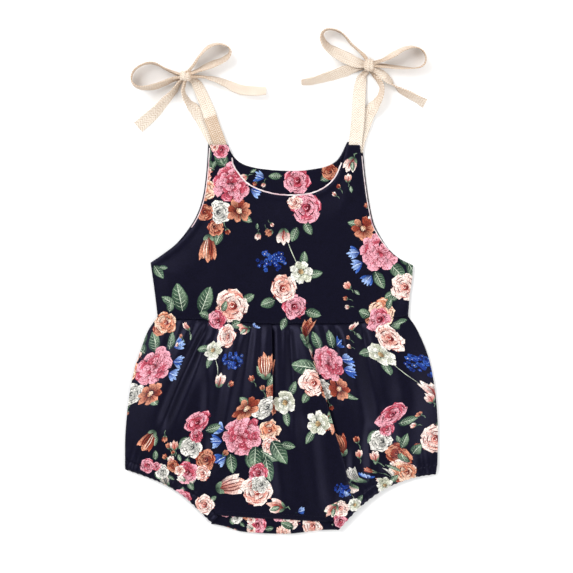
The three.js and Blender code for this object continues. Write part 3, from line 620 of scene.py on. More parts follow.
def leaf(s, length, width):
    light, mid, deep, vein = LEAF
    s.petal(0, 0, math.pi / 2, length, width, deep, mid, blunt=0.42, ruffle=0.035, points=17)
    half = [(0, length * t) for t in (0, 0.25, 0.5, 0.75, 1)]
    bulge = [(width * w, length * t) for w, t in ((0.22, 0.84), (0.4, 0.6), (0.43, 0.36), (0.22, 0.12))]
    s.add(half + bulge, deep, light, (-width * 0.1, 0), (width * 0.4, length))
    s.stroke([(0, 0), (length * 0.01, length * 0.5), (0, length * 0.97)], max(length * 0.035, 0.55), vein)
    for t in (0.12, 0.26, 0.4, 0.54, 0.68):
        for side in (-1, 1):
            reach = width * 0.4 * math.sin(math.pi * min(t + 0.16, 1)) ** 0.6
            s.stroke([(0, length * t), (side * reach * 0.55, length * (t + 0.07)),
                      (side * reach, length * (t + 0.17))], max(length * 0.018, 0.36), vein, light)


def bluebell(s, length):
    for tilt in (-0.62, 0.58, -0.3, 0.28, 0.0):
        reach = length * s.rng.uniform(0.8, 1.05)
        full_petal(s, 0, 0, math.pi / 2 + tilt, reach, length * 0.26, BLUE, 2, 0.6)
    s.stroke([(0, length * 0.1), (length * 0.04, length * 0.5), (0, length * 0.85)], length * 0.06,
             (206, 222, 246))
    s.stroke([(0, 0), (0, -length * 0.35)], length * 0.08, LEAF[2])


def forget_me_nots(s, wide, high, count):
    light, mid, deep, dark = BLUE
    for _ in range(count):
        turn, reach = s.rng.uniform(0, 6.28), math.sqrt(s.rng.uniform(0, 1))
        x, y = wide * reach * math.cos(turn), high * reach * math.sin(turn)
        size = s.rng.uniform(1.5, 2.3)
        root, tip = s.rng.choice(((dark, deep), (deep, mid), (dark, mid), (deep, deep)))
        for k in range(5):
            s.petal(x, y, turn + 1.257 * k, size, size * 0.95, root, tip, blunt=0.66, points=6)
        if s.rng.uniform(0, 1) < 0.6:
            s.blob(x, y, size * 0.24, s.rng.choice((light, (226, 214, 208))), points=5)


def white_flower(s, r):
    shades = ((244, 242, 232), (212, 212, 192), (140, 150, 120), (78, 92, 66))
    ring_of(s, 7, r * 0.06, r, r * 0.74, shades, 3)
    ring_of(s, 5, 0, r * 0.6, r * 0.46, shades, 2)
    s.blob(0, 0, r * 0.24, (206, 176, 128), (112, 84, 56), points=9)
    for k in range(8):
        s.blob(math.cos(k * 0.8) * r * 0.3, math.sin(k * 0.8) * r * 0.3, r * 0.05, (70, 60, 48), points=5)


def stem(s, length, bend):
    s.stroke([(0, 0), (bend * 0.6, length * 0.5), (bend, length)], 0.8, (196, 206, 184))


MOTIFS = {
    "peony": lambda s, a, b: peony(s, a),
    "rose_pink": lambda s, a, b: rose(s, a, PINK), "rose_peach": lambda s, a, b: rose(s, a, PEACH),
    "rose_rust": lambda s, a, b: rose(s, a, RUST), "rose_white": lambda s, a, b: rose(s, a, WHITE),
    "rose_coral": lambda s, a, b: rose(s, a, CORAL), "daisy": lambda s, a, b: daisy(s, a),
    "tulip": lambda s, a, b: tulip(s, a, b), "tulip_pale": lambda s, a, b: tulip(s, a, b, CORAL),
    "tulip_white": lambda s, a, b: tulip(s, a, b, WHITE),
    "bud": lambda s, a, b: bud(s, a, CORAL, b), "bud_rust": lambda s, a, b: bud(s, a, RUST, b),
    "leaf": leaf, "bluebell": lambda s, a, b: bluebell(s, a),
    "cluster": lambda s, a, b: forget_me_nots(s, a, b, int(a * b * 0.34)),
    "white": lambda s, a, b: white_flower(s, a), "stem": stem,
}

# Bouquets. Each row: motif, x, y, turn in degrees, two sizes
BOUQUETS = {
    "A": [
        ("leaf", -10, -16, 188, 18, 10), ("leaf", 6, -14, 205, 20, 12), ("leaf", 16, -12, 240, 20, 12),
        ("leaf", 22, -18, 192, 24, 11), ("leaf", 10, 44, -20, 14, 8), ("leaf", -8, 30, 60, 12, 7),
        ("bluebell", -17, 6, 75, 12, 0), ("bluebell", -18, -4, 95, 12, 0),
        ("bluebell", -14, -18, 120, 12, 0),
        ("tulip", 21, 48, -4, 25, 13), ("rose_rust", 15, 41, 0, 8, 0), ("rose_white", 11, 27, 0, 11, 0),
        ("rose_rust", 25, 27, 0, 8, 0), ("daisy", -6.4, 25.8, 20, 11.5, 0), ("bud_rust", 5, 42, 20, 6, 1.2),
        ("rose_peach", 25, 6, 0, 11, 0), ("rose_coral", 27, -8, 0, 9, 0), ("peony", 0, 0, 0, 18.5, 0),
    ],
    "B": [
        ("leaf", -6, 3, 100, 14, 8), ("leaf", -2, -6, 175, 13, 8), ("leaf", -4, 36, 75, 15, 9),
        ("leaf", 24, 26, -70, 14, 10), ("leaf", 14, 42, -20, 12, 7),
        ("stem", 4, -8, 195, 22, -3), ("bud", 16, -40, 0, 16, 0), ("bud_rust", 26, -38, -60, 8, 0),
        ("cluster", 27, -10, 0, 13, 10), ("rose_pink", 6, 32, 0, 12, 0), ("rose_coral", 16, 15, 0, 13, 0),
        ("white", 0, 0, 0, 11, 0),
    ],
    "Q": [("leaf", -3, -8, 30, 12, 6), ("bud_rust", -12, -12, 30, 7, 0.8), ("tulip", 0, -10, 0, 24, 13)],
    "C": [
        ("leaf", 12, -8, -70, 15, 9), ("leaf", -6, -14, 150, 14, 8), ("leaf", -4, -34, 170, 12, 6),
        ("bud_rust", -22, -26, 20, 7, 1), ("bud", -20, -40, 10, 8, 0.6),
        ("tulip_white", -24, -62, 20, 15, 9),
        ("tulip_white", -2, -62, -8, 14, 9), ("bud_rust", 30, -32, -40, 7, 0.6),
        ("rose_rust", 13, -36, 0, 10, 0), ("rose_white", -1, -24, 0, 11, 0),
        ("rose_coral", 10, -49, 0, 8, 0),
        ("rose_pink", 0, 0, 0, 12, 0), ("rose_pink", 3, -13, 0, 7, 0),
    ],
    "L": [("leaf", -7, -12, 12, 26, 15), ("leaf", 10, -13, -20, 25, 14), ("leaf", -14, -6, 60, 14, 8)],
    "K": [("leaf", -11, -6, 120, 14, 9), ("leaf", 10, 4, -60, 12, 8), ("rose_coral", 0, 0, 0, 16, 0)],
    "O": [("leaf", 10, 8, -40, 12, 8), ("rose_rust", -9, -3, 0, 7, 0), ("rose_peach", 0, 0, 0, 12.5, 0)],
    "P": [("leaf", -14, -14, 140, 14, 8), ("leaf", -6, -12, 190, 13, 8), ("rose_pink", 0, 0, 0, 15, 0),
          ("rose_coral", -8, 8, 0, 7, 0)],
    "W": [("leaf", -2, -6, 170, 12, 6), ("leaf", 6, 4, -50, 12, 7), ("white", 0, 0, 0, 9.5, 0)],
    "U": [("leaf", 4, -4, 200, 9, 5), ("bud", 0, 0, 10, 12, 0.5), ("bud_rust", -9, -10, 40, 7, 1),
          ("bud", -12, -20, 60, 7, 0.8)],
    "V": [("bud", 0, 0, 75, 14, 0.3), ("leaf", -4, 1, 110, 8, 4), ("bluebell", 10, -3, -70, 6, 0)],
    "T": [("rose_coral", 9, -4, 0, 14, 0), ("rose_pink", 10, 12, 0, 9, 0),
          ("tulip_pale", -26, -2, -75, 26, 17), ("rose_white", 12, 2, 0, 8, 0)],
    "N": [("leaf", 22, 0, -60, 13, 8), ("bluebell", -30, 2, 70, 10, 0), ("rose_rust", 30, 8, 0, 8, 0),
          ("rose_pink", 0, 0, 0, 13, 0), ("leaf", -14, 4, 90, 12, 7)],
}

# Where the bouquets lie. Each row: bouquet, x, y, turn in degrees, scale
PRINT_FRONT = [
    ("L", -83, -16, 0, 1.0), ("K", -44.5, -23, 0, 1.0), ("A", -44.6, 89.7, 180, 1.0),
    ("P", -55, 120, 20, 0.55), ("A", 90.6, 26.2, 20, 0.98), ("B", 18.9, 7.8, 180, 1.0),
    ("P", 23.5, 66.7, 20, 1.0), ("V", 68, 113, 75, 1.1), ("U", 62, 90, -10, 0.7),
    ("O", 93, -29, 10, 1.05), ("K", 114, -6, 0, 0.8), ("L", -117, 6, 205, 0.55),
    ("U", -20, 44, 160, 0.6), ("U", 64, -8, 30, 0.7),
    ("A", -114.5, -78.7, 180, 0.98), ("L", 24, -70, 72, 1.0), ("Q", -14, -80, 4, 1.0),
    ("K", 30, -94, 30, 0.8), ("A", -35.4, -143.1, 0, 1.0), ("L", -10, -160, 200, 0.95),
    ("A", 44, -76, 180, 0.9), ("B", -62, -64, 0, 0.85), ("Q", 22, -46, -10, 0.9),
    ("B", 92.5, -68, 0, 1.0), ("C", 101.7, -123, 0, 1.0), ("C", -76.8, -130, 0, 0.95),
    ("W", 4, -111.8, 20, 1.2), ("W", 34.5, -131, -20, 1.2), ("Q", 55, -152, 20, 0.9),
    ("T", -31, -189, 0, 1.05), ("V", 4, -209, 0, 1.2), ("O", -106, -39, 30, 0.85),
    ("Q", -121, -146, 150, 0.9), ("U", -97, -156, 0, 0.8), ("P", -86, -176, 30, 0.7),
    ("C", -122, -170, 70, 0.6), ("K", -70, -206, 10, 0.6), ("K", 142, -146, 60, 0.9),
    ("V", 64, -186, 40, 1.0), ("B", 68, -206, 150, 0.6), ("P", -92, -202, 30, 0.7),
    ("U", 140, -112, 30, 0.9), ("O", 116, -176, 20, 0.8), ("U", 88, -166, 10, 0.9),
    ("L", 118, -150, -30, 0.55), ("V", 52, -206, 60, 1.0), ("W", 96, -188, 0, 0.8),
    ("V", -29, -44, 20, 0.9), ("U", -84, -46, 0, 0.7), ("U", 66, -46, 10, 0.7),
]
PRINT_BACK = [
    ("A", 60, 70, 0, 1.0), ("B", -30, 60, 0, 1.0), ("L", 96, -12, 0, 1.0), ("A", -70, 10, 180, 1.0),
    ("P", 6, 6, 0, 1.0), ("K", 50, -16, 30, 1.0), ("U", -100, 0, 0, 1.0), ("W", 20, 46, 0, 1.0),
    ("C", -48, 104, 0, 0.9), ("A", 96, -80, 180, 1.0), ("B", 30, -80, 0, 1.0), ("C", 92, -140, 0, 1.0),
    ("A", 24, -150, 0, 1.0), ("B", -100, -76, 0, 1.0), ("C", -106, -130, 0, 1.0), ("W", -60, -110, 0, 1.1),
    ("A", -36, -86, 180, 1.0), ("T", -10, -196, 0, 1.0), ("K", -62, -160, 0, 1.0), ("U", 66, -186, 0, 1.0),
    ("P", 50, -110, 60, 0.8), ("V", -30, -208, 0, 1.0), ("W", 128, -120, 0, 1.0), ("O", -10, -56, 0, 1.0),
    ("L", -120, -176, 30, 0.7),
]
PRINT_NECK = [("N", 15, 92, 0, 1.0), ("U", -30, 96, 100, 0.7), ("V", 66, 112, 100, 0.8)]
PRINT_FLAP = [("P", -22, -225, 90, 0.62), ("T", 6, -224, 80, 0.75), ("K", 30, -226, 60, 0.6),
              ("C", -52, -212, 60, 0.5), ("L", 6, -232, 90, 0.5)]


def placed(rows, smallest, warp=None):
    """Every shape of the print, in drawing order, moved to its place and through the warp.

    Shapes with less than the smallest area, in square millimetres, are left out.
    """
    shapes = []
    for order, (bouquet, x, y, turn, scale) in enumerate(rows):
        drawn = []
        for part, (motif, mx, my, mturn, a, b) in enumerate(BOUQUETS[bouquet]):
            sketch = Sketch(1000 * order + part)
            MOTIFS[motif](sketch, a, b)
            for outline, root_colour, tip_colour, root, tip in sketch.shapes:
                if outline_area(outline) * scale ** 2 < smallest:
                    continue
                points = turned(np.vstack([outline, root, tip]), math.radians(mturn)) + (mx, my)
                drawn.append((points, root_colour, tip_colour))
        points = turned(np.vstack([row[0] for row in drawn]), math.radians(turn)) * scale + (x, y)
        if warp:
            points = warp(points, (x, y))
        ends = np.cumsum([len(row[0]) for row in drawn])
        for part, (_, root_colour, tip_colour) in zip(np.split(points, ends[:-1]), drawn):
            shapes.append((part[:-2], root_colour, tip_colour, part[-2], part[-1]))
    return shapes


def turned(points, angle):
    cos, sin = math.cos(angle), math.sin(angle)
    return points @ np.array([[cos, sin], [-sin, cos]])


def hidden_cloth(x, y):
    """How much cloth the gathers and laps take up between the middle and a point."""
    return cloth_taken(x, y) - cloth_taken(np.zeros(len(x)), y)


def cloth_taken(x, y):
    share = bloomer_share(x, y, front_hem)
    total = np.zeros(len(x))
    for row in GATHERS:
        reach, cloth = row[4], row[5]
        width = 1.6 + 3 * share
        passed = smooth((x - through(row, share)) / width / 2 + 0.5)
        total += GATHER_SHARE * cloth * smooth(1 - share / (reach * 1.5)) * passed
    for row in LAPS:
        total += row[7] * lap_ends(share, row) * smooth((x - through(row, share) + 0.35) / 0.7)
    return total


def bloomer_warp(points, middle):
    """Draws cloth into its gathers and laps, with the bouquet's middle left in place."""
    if middle[1] > waist_seam[:, 1].min() - 2:
        return points
    left, right = bloomer_sides(points[:, 1])
    anchor = hidden_cloth(*np.array([[middle[0]], [middle[1]]]))[0] + middle[0]
    target = points[:, 0] - middle[0] + anchor
    low, high = left - 40, right + 40
    for _ in range(26):
        guess = (low + high) / 2
        above = guess + hidden_cloth(guess, points[:, 1]) > target
        high = np.where(above, guess, high)
        low = np.where(above, low, guess)
    return np.column_stack([(low + high) / 2, points[:, 1]])


def linear(colour):
    share = np.array(colour, dtype=float) / 255
    return np.where(share <= 0.04045, share / 12.92, ((share + 0.055) / 1.055) ** 2.4)


def inside_outline(points, outline):
    a, b = outline, np.roll(outline, -1, axis=0)
    inside = np.zeros(len(points), dtype=bool)
    for (ax, ay), (bx, by) in zip(a, b):
        if ay == by:
            continue
        crosses = (ay > points[:, 1]) != (by > points[:, 1])
        at = ax + (points[:, 1] - ay) * (bx - ax) / (by - ay)
        inside ^= crosses & (points[:, 0] < at)
    return inside


def outline_area(points):
    onward = np.roll(points, -1, axis=0)
    return (points[:, 0] * onward[:, 1] - points[:, 1] * onward[:, 0]).sum() / 2


def owning_shapes(named, areas, drawn):
    """The last drawn shape over each triangle, or -1 off the outline.

    A shape that claims more than it drew, because its sides cross, is left out.
    """
    triangle = np.repeat(np.arange(len(named)), [len(ids) for ids in named])
    shape = np.array([i for ids in named for i in ids])
    claimed = np.bincount(shape, weights=areas[triangle], minlength=len(drawn))
    sound = (claimed <= 1.25 * np.array(drawn) + 0.3)[shape]
    owner = np.full(len(named), -1)
    np.maximum.at(owner, triangle[sound], shape[sound])
    on_outline = np.zeros(len(named), dtype=bool)
    on_outline[triangle[shape == 0]] = True
    return np.where(on_outline, owner, -1)


def triangulated(verts, edges, faces):
    """Constrained triangles inside the faces: points, triangles, their doubled areas and face ids."""
    out = delaunay_2d_cdt([Vector(v) for v in verts], edges, faces, 1, 1e-3, True)
    points = np.array([(v.x, v.y) for v in out[0]])
    triangles = np.array(out[2])
    corners = points[triangles]
    turns = np.cross(corners[:, 1] - corners[:, 0], corners[:, 2] - corners[:, 0])
    triangles[turns < 0] = triangles[turns < 0][:, ::-1]
    return points, triangles, abs(turns), out[5]


def overlaid(outline, shapes):
    """The shapes laid over each other on an outline: points, triangles and the shape on top."""
    verts = [tuple(p) for p in outline]
    faces = [list(range(len(outline)))]
    for shape in shapes:
        faces.append(list(range(len(verts), len(verts) + len(shape[0]))))
        verts += [tuple(p) for p in shape[0]]
    points, triangles, turns, named = triangulated(verts, [], faces)
    drawn = [outline_area(outline)] + [outline_area(shape[0]) for shape in shapes]
    owner = owning_shapes(named, turns / 2, drawn)
    solid = (turns > 1e-7) & (owner >= 0)
    return points, triangles[solid], owner[solid]


def colour_edges(triangles, owner):
    """The edges between triangles of different shapes."""
    pairs = np.vstack([triangles[:, [0, 1]], triangles[:, [1, 2]], triangles[:, [2, 0]]])
    owners = np.tile(owner, 3)
    edges, which = np.unique(np.sort(pairs, axis=1), axis=0, return_inverse=True)
    which = which.ravel()
    low, high = np.full(len(edges), owner.max() + 1), np.full(len(edges), -1)
    np.minimum.at(low, which, owners)
    np.maximum.at(high, which, owners)
    return edges[low < high]


def chains_of(edges):
    """Runs of edges between the points where three or more meet."""
    neighbours = {}
    for a, b in edges.tolist():
        neighbours.setdefault(a, set()).add(b)
        neighbours.setdefault(b, set()).add(a)
    junctions = [point for point, near in neighbours.items() if len(near) != 2]
    chains = []
    for start in junctions + list(neighbours):
        while neighbours[start]:
            chain, at = [start], start
            while neighbours[at]:
                step = neighbours[at].pop()
                neighbours[step].discard(at)
                chain.append(step)
                at = step
                if at == start or len(neighbours[at]) != 1:
                    break
            chains.append(chain)
    return chains


def thinned(chain, points, tolerance):
    """The points of a chain that its shape needs."""
    if len(chain) < 3:
        return chain
    a, b = points[chain[0]], points[chain[-1]]
    middle = points[chain[1:-1]]
    length = math.hypot(*(b - a))
    if length < 1e-6:
        away = np.hypot(*(middle - a).T)
    else:
        away = abs((middle[:, 0] - a[0]) * (b[1] - a[1]) - (middle[:, 1] - a[1]) * (b[0] - a[0])) / length
    worst = int(np.argmax(away))
    if away[worst] < tolerance:
        return [chain[0], chain[-1]]
    cut = worst + 1
    return thinned(chain[:cut + 1], points, tolerance)[:-1] + thinned(chain[cut:], points, tolerance)


def spaced_grid(outline, step, seed, guides, kept_clear):
    """Points to fill an outline with, jittered, with rows of their own beside the guides."""
    rng = np.random.default_rng(seed)
    low, high = outline.min(axis=0), outline.max(axis=0)
    grid_x, grid_y = np.meshgrid(np.arange(low[0], high[0], step), np.arange(low[1], high[1], step))
    grid = np.column_stack([grid_x.ravel(), grid_y.ravel()])
    grid += rng.uniform(-0.12, 0.12, grid.shape) * step
    grid[:, 0] += np.where(np.arange(len(grid)) // grid_x.shape[1] % 2, step / 2, 0)
    for guide in guides:
        grid = grid[nearest(guide, grid[:, 0], grid[:, 1])[0] > 1.3]
    if len(kept_clear):
        tree = KDTree(len(kept_clear))
        for index, (x, y) in enumerate(kept_clear):
            tree.insert((x, y, 0), index)
        tree.balance()
        grid = grid[[tree.find((x, y, 0))[2] > step * 0.5 for x, y in grid]]
    grid = np.vstack([grid] + [beside(guide, side) for guide in guides for side in LAP_SIDES])
    grid = grid[inside_outline(grid, outline)]
    return grid[nearest(np.vstack([outline, outline[:1]]), grid[:, 0], grid[:, 1])[0] > step * 0.45]


def cut_face(outline, shapes, step, seed, guides=()):
    """Triangles over an outline, cut where its colours change: points, triangles, corner colours."""
    low, high = outline.min(axis=0), outline.max(axis=0)
    kept = [shape for shape in shapes
            if (shape[0].max(axis=0) > low).all() and (shape[0].min(axis=0) < high).all()]
    flat_points, flat_triangles, flat_owner = overlaid(outline, kept)
    edge_points = np.zeros((0, 2))
    edges = []
    if kept:
        chains = [thinned(chain, flat_points, EDGE_TOLERANCE)
                  for chain in chains_of(colour_edges(flat_triangles, flat_owner))]
        used = sorted({point for chain in chains for point in chain})
        order = {point: len(outline) + place for place, point in enumerate(used)}
        edge_points = flat_points[used]
        edges = [(order[a], order[b]) for chain in chains for a, b in zip(chain, chain[1:])]
    grid = spaced_grid(outline, step, seed, guides, edge_points)
    verts = np.vstack([outline, edge_points, grid]).tolist()
    points, triangles, turns, named = triangulated(verts, edges, [list(range(len(outline)))])
    on_outline = np.array([len(ids) > 0 for ids in named])
    triangles = triangles[(turns > 1e-7) & on_outline]
    corners = points[triangles]
    tree = BVHTree.FromPolygons(np.column_stack([flat_points, np.zeros(len(flat_points))]).tolist(),
                                flat_triangles.tolist())
    owner = np.array([flat_owner[tree.find_nearest((x, y, 0))[2]] for x, y in corners.mean(axis=1)])
    roots = np.array([(0, 0)] + [shape[3] for shape in kept], dtype=float)[owner][:, None]
    tips = np.array([(0, 1)] + [shape[4] for shape in kept], dtype=float)[owner][:, None]
    root_colours = np.array([GROUND] + [linear(shape[1]) for shape in kept])[owner][:, None]
    tip_colours = np.array([GROUND] + [linear(shape[2]) for shape in kept])[owner][:, None]
    along = tips - roots
    share = ((corners - roots) * along).sum(axis=2) / np.maximum((along ** 2).sum(axis=2), 1e-6)
    share = smooth(share)[:, :, None]
    return points, triangles, root_colours + (tip_colours - root_colours) * share


def border_loop(triangles):
    """The outer loop of a set of counterclockwise triangles."""
    edges = {}
    for a, b, c in triangles.tolist():
        for edge in ((a, b), (b, c), (c, a)):
            if edge[::-1] in edges:
                del edges[edge[::-1]]
            else:
                edges[edge] = True
    following = {}
    for a, b in edges:
        following.setdefault(a, []).append(b)
    loops = []
    while following:
        start = next(iter(following))
        loop, at = [start], following[start].pop()
        if not following[start]:
            del following[start]
        while at != start and at in following:
            loop.append(at)
            step = following[at].pop()
            if not following[at]:
                del following[at]
            at = step
        loops.append(loop)
    return max(loops, key=len)


def loop_from(loop, points, start):
    """The loop begun at the point nearest to start, with the share of its length at each."""
    places = points[loop]
    first = int(np.argmin(np.linalg.norm(places - start, axis=1)))
    loop = loop[first:] + loop[:first]
    places = points[loop]
    steps = np.linalg.norm(np.diff(np.vstack([places, places[:1]]), axis=0), axis=1)
    return loop, np.concatenate([[0], np.cumsum(steps)]) / steps.sum()


def tidy_loose(points, triangles):
    """Drops points that no triangle uses."""
    used = np.unique(triangles)
    renumber = np.zeros(len(points), dtype=int)
    renumber[used] = np.arange(len(used))
    return points[used], renumber[triangles]


def rim_between(upper_loop, upper_share, lower_loop, lower_share):
    """Triangles between two loops that run the same way, with their shares along and across."""
    rim, shares = [], []
    i = j = 0
    while i < len(upper_loop) or j < len(lower_loop):
        a, b = upper_loop[i % len(upper_loop)], lower_loop[j % len(lower_loop)]
        take_upper = j == len(lower_loop) or (
            i < len(upper_loop) and upper_share[i + 1] <= lower_share[j + 1])
        if take_upper:
            rim.append((b, upper_loop[(i + 1) % len(upper_loop)], a))
            shares.append(((lower_share[j], 0), (upper_share[i + 1], 1), (upper_share[i], 1)))
            i += 1
        else:
            rim.append((b, lower_loop[(j + 1) % len(lower_loop)], a))
            shares.append(((lower_share[j], 0), (lower_share[j + 1], 0), (upper_share[i], 1)))
            j += 1
    return np.array(rim), np.array(shares)


def in_map(unit, spot):
    """Points of a unit square, moved to their spot in the bake map."""
    return unit * spot[:2] + spot[2:]


def cloth_shell(name, outline, outer, inner, printed_outer=(), printed_inner=(), seed=1, guides=()):
    """A closed thin shell over a flat outline, between two faces, with a print on them."""
    faces = []
    for shapes, place in ((printed_outer, outer), (printed_inner, inner)):
        step = FINE_STEP if shapes else PLAIN_STEP
        points, triangles, colours = cut_face(outline, shapes, step, seed, guides if shapes else ())
        points, triangles = tidy_loose(points, triangles)
        faces.append((points, triangles, colours, place(points[:, 0], points[:, 1])))
    (upper, up_tris, up_colours, up_z), (lower, low_tris, low_colours, low_z) = faces
    count = len(upper)
    upper_loop, upper_share = loop_from(border_loop(up_tris), upper, outline[0])
    lower_loop, lower_share = loop_from(border_loop(low_tris), lower, outline[0])
    lower_loop = [count + point for point in lower_loop]
    rim, rim_shares = rim_between(upper_loop, upper_share, lower_loop, lower_share)
    flat_points = np.vstack([upper, lower])
    vertices = np.vstack([up_z, low_z])
    low_tris = low_tris[:, ::-1] + count
    triangles = np.vstack([up_tris, low_tris, rim])
    edge_colours = np.tile(np.array(GROUND), (len(rim), 3, 1))
    colours = np.vstack([up_colours, low_colours[:, ::-1], edge_colours])
    low, high = outline.min(axis=0), outline.max(axis=0)
    unit = (flat_points - low) / (high - low)
    upper_spot, lower_spot = BAKE_TWO_PRINTS if printed_inner else BAKE_ONE_PRINT
    maps = [in_map(unit[up_tris], upper_spot), in_map(unit[low_tris], lower_spot),
            in_map(rim_shares, BAKE_RIM)]
    return mesh_piece(name, vertices * MM, triangles, colours, np.vstack(maps))


def mesh_piece(name, vertices, faces, colours=None, bake_map=None):
    mesh = bpy.data.meshes.new(name)
    mesh.from_pydata(np.asarray(vertices).tolist(), [], [list(map(int, face)) for face in faces])
    if colours is not None:
        layer = mesh.color_attributes.new("print", "FLOAT_COLOR", "CORNER")
        flat = np.column_stack([colours.reshape(-1, 3), np.ones(colours.shape[0] * colours.shape[1])])
        layer.data.foreach_set("color", flat.astype(np.float32).ravel())
    if bake_map is not None:
        layer = mesh.uv_layers.new(name="OFBake")
        layer.data.foreach_set("uv", bake_map.astype(np.float32).ravel())
    mesh.shade_smooth()
    piece = bpy.data.objects.new(name, mesh)
    bpy.context.collection.objects.link(piece)
    return piece


# Materials
class Nodes:
    """Adds linked shader nodes to a material."""

    def __init__(self, name):
        self.material = bpy.data.materials.new(name)
        self.material.use_nodes = True
        self.tree = self.material.node_tree
        self.shader = self.tree.nodes["Principled BSDF"]

    def add(self, kind, values=None, links=None, **settings):
        node = self.tree.nodes.new(kind)
        for key, value in settings.items():
            setattr(node, key, value)
        for key, value in (values or {}).items():
            node.inputs[key].default_value = value
        for key, source in (links or {}).items():
            self.tree.links.new(source, node.inputs[key])
        return node

    def shade(self, **links):
        for key, source in links.items():
            self.tree.links.new(source, self.shader.inputs[key.replace("_", " ")])

    def noise(self, scale, detail=2.0, roughness=0.5):
        place = self.add("ShaderNodeTexCoord").outputs["Object"]
        values = {"Scale": scale, "Detail": detail, "Roughness": roughness}
        return self.add("ShaderNodeTexNoise", values, {"Vector": place}).outputs["Fac"]

    def ramp(self, factor, low, high, ends=(0.0, 1.0)):
        node = self.add("ShaderNodeValToRGB", None, {"Fac": factor})
        for element, colour, end in zip(node.color_ramp.elements, (low, high), ends):
            element.position = end
            element.color = (*colour, 1)
        return node.outputs[0]

    def bump(self, height, strength, distance):
        values = {"Strength": strength, "Distance": distance}
        return self.add("ShaderNodeBump", values, {"Height": height}).outputs[0]

    def set(self, **values):
        for key, value in values.items():
            self.shader.inputs[key.replace("_", " ")].default_value = value

    def number(self, operation, first, second=None, third=None):
        node = self.add("ShaderNodeMath", operation=operation)
        for slot, value in enumerate((first, second, third)):
            if value is None:
                continue
            if isinstance(value, (int, float)):
                node.inputs[slot].default_value = value
            else:
                self.tree.links.new(value, node.inputs[slot])
        return node.outputs[0]


def print_material():
    """Printed cotton: the print's colours broken up as by a brush, and a fine plain weave."""
    m = Nodes("printed_cotton")
    colour = m.add("ShaderNodeAttribute", attribute_name="print").outputs["Color"]
    strokes, wash = m.noise(900.0, 3.0, 0.65), m.noise(160.0)
    tone = m.number("ADD", m.number("MULTIPLY", strokes, 2.5), m.number("MULTIPLY", wash, 0.5))
    shaded = m.add("ShaderNodeVectorMath", None, {0: colour, "Scale": m.number("SUBTRACT", tone, 0.72)},
                   operation="SCALE")
    place = m.add("ShaderNodeTexCoord").outputs["Object"]
    warp, weft = [m.add("ShaderNodeTexWave", {"Scale": 620.0, "Distortion": 0.4, "Detail": 0.0},
                        {"Vector": place}, bands_direction=direction).outputs["Fac"]
                  for direction in "XY"]
    m.set(Roughness=0.42, Specular_IOR_Level=0.16, Specular_Tint=(0.62, 0.6, 1.0, 1),
          Sheen_Weight=0.015, Sheen_Roughness=0.45, Sheen_Tint=(0.62, 0.66, 0.9, 1))
    m.shade(Base_Color=shaded.outputs[0], Normal=m.bump(m.number("MULTIPLY", warp, weft), 0.25, 0.0001))
    return m.material


def tape_material():
    """Cream cotton tape with a herringbone weave along it, and painted shade from its tone map that darkens
    it where the tape stands on edge.
    """
    m = Nodes("herringbone_tape")
    split = m.add("ShaderNodeSeparateXYZ", None, {0: m.add("ShaderNodeUVMap", uv_map="tape").outputs[0]})
    along, across = split.outputs[0], split.outputs[1]
    zigzag = m.number("PINGPONG", across, HERRINGBONE[0])
    slant = m.number("ADD", along, m.number("MULTIPLY", zigzag, 1.1))
    rib = m.number("SINE", m.number("MULTIPLY", slant, 2 * math.pi / HERRINGBONE[1]))
    column = m.number("COMPARE", zigzag, 0.0, 0.14)
    fuzz, patch = m.noise(800.0, 4.0, 0.7), m.noise(60.0)
    height = m.number("SUBTRACT", m.number("MULTIPLY", rib, 0.5), column)
    height = m.number("ADD", height, m.number("MULTIPLY", fuzz, 0.5))
    shade = m.number("ADD", m.number("MULTIPLY", rib, 0.42), m.number("MULTIPLY", patch, 0.5))
    shade = m.number("ADD", shade, m.number("MULTIPLY", fuzz, 1.5))
    shade = m.number("SUBTRACT", shade, 0.95)
    # Painted shade: the tone map, set from how the tape lies, moves its colour down the ramp towards tan
    tone = m.add("ShaderNodeSeparateXYZ", None, {0: m.add("ShaderNodeUVMap", uv_map="tone").outputs[0]})
    factor = m.number("ADD", shade, tone.outputs[0])
    m.set(Roughness=0.85, Specular_IOR_Level=0.2, Sheen_Weight=0.25)
    m.shade(Base_Color=m.ramp(factor, (0.44, 0.295, 0.19), (0.84, 0.77, 0.675)),
            Normal=m.bump(height, 0.8, 0.0003))
    return m.material


def reverse_material():
    """The pale, unprinted reverse of the cotton, with a blush of the print."""
    m = Nodes("pale_reverse")
    noise = m.noise(70.0, 3.0)
    m.set(Roughness=0.8)
    m.shade(Base_Color=m.ramp(noise, (0.50, 0.26, 0.32), (0.82, 0.74, 0.74), (0.35, 0.6)),
            Normal=m.bump(noise, 0.3, 0.0001))
    return m.material


def thread_material():
    m = Nodes("navy_thread")
    m.set(Roughness=0.7, Specular_IOR_Level=0.12)
    m.shade(Base_Color=m.ramp(m.noise(2500.0), (0.004, 0.004, 0.009), (0.012, 0.012, 0.026)))
    return m.material


def floor_material():
    m = Nodes("pale_floor")
    m.set(Roughness=0.9, Specular_IOR_Level=0.1)
    m.shade(Base_Color=m.ramp(m.noise(4.0), (0.93, 0.93, 0.93), (0.96, 0.96, 0.96)))
    return m.material


cotton, tape, reverse, thread = print_material(), tape_material(), reverse_material(), thread_material()


def finish_piece(piece, material, slot, *nodes):
    piece.data.materials.append(material)
    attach(piece, "root")
    if nodes:
        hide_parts(*nodes)


def loop_of(*lines):
    """A closed outline from lines end to end, without doubled points."""
    points = np.vstack(lines)
    points = points[np.linalg.norm(points - np.roll(points, 1, axis=0), axis=1) > 0.05]
    return points if outline_area(points) > 0 else points[::-1]


# The four panels
def bodice_outline(armholes, neck):
    seam = waist_seam + (0, SEAM_GAP / 2)
    return loop_of(armholes["left"], side_left[1:-1], seam, side_right[1:-1][::-1],
                   armholes["right"][::-1], neck[::-1])


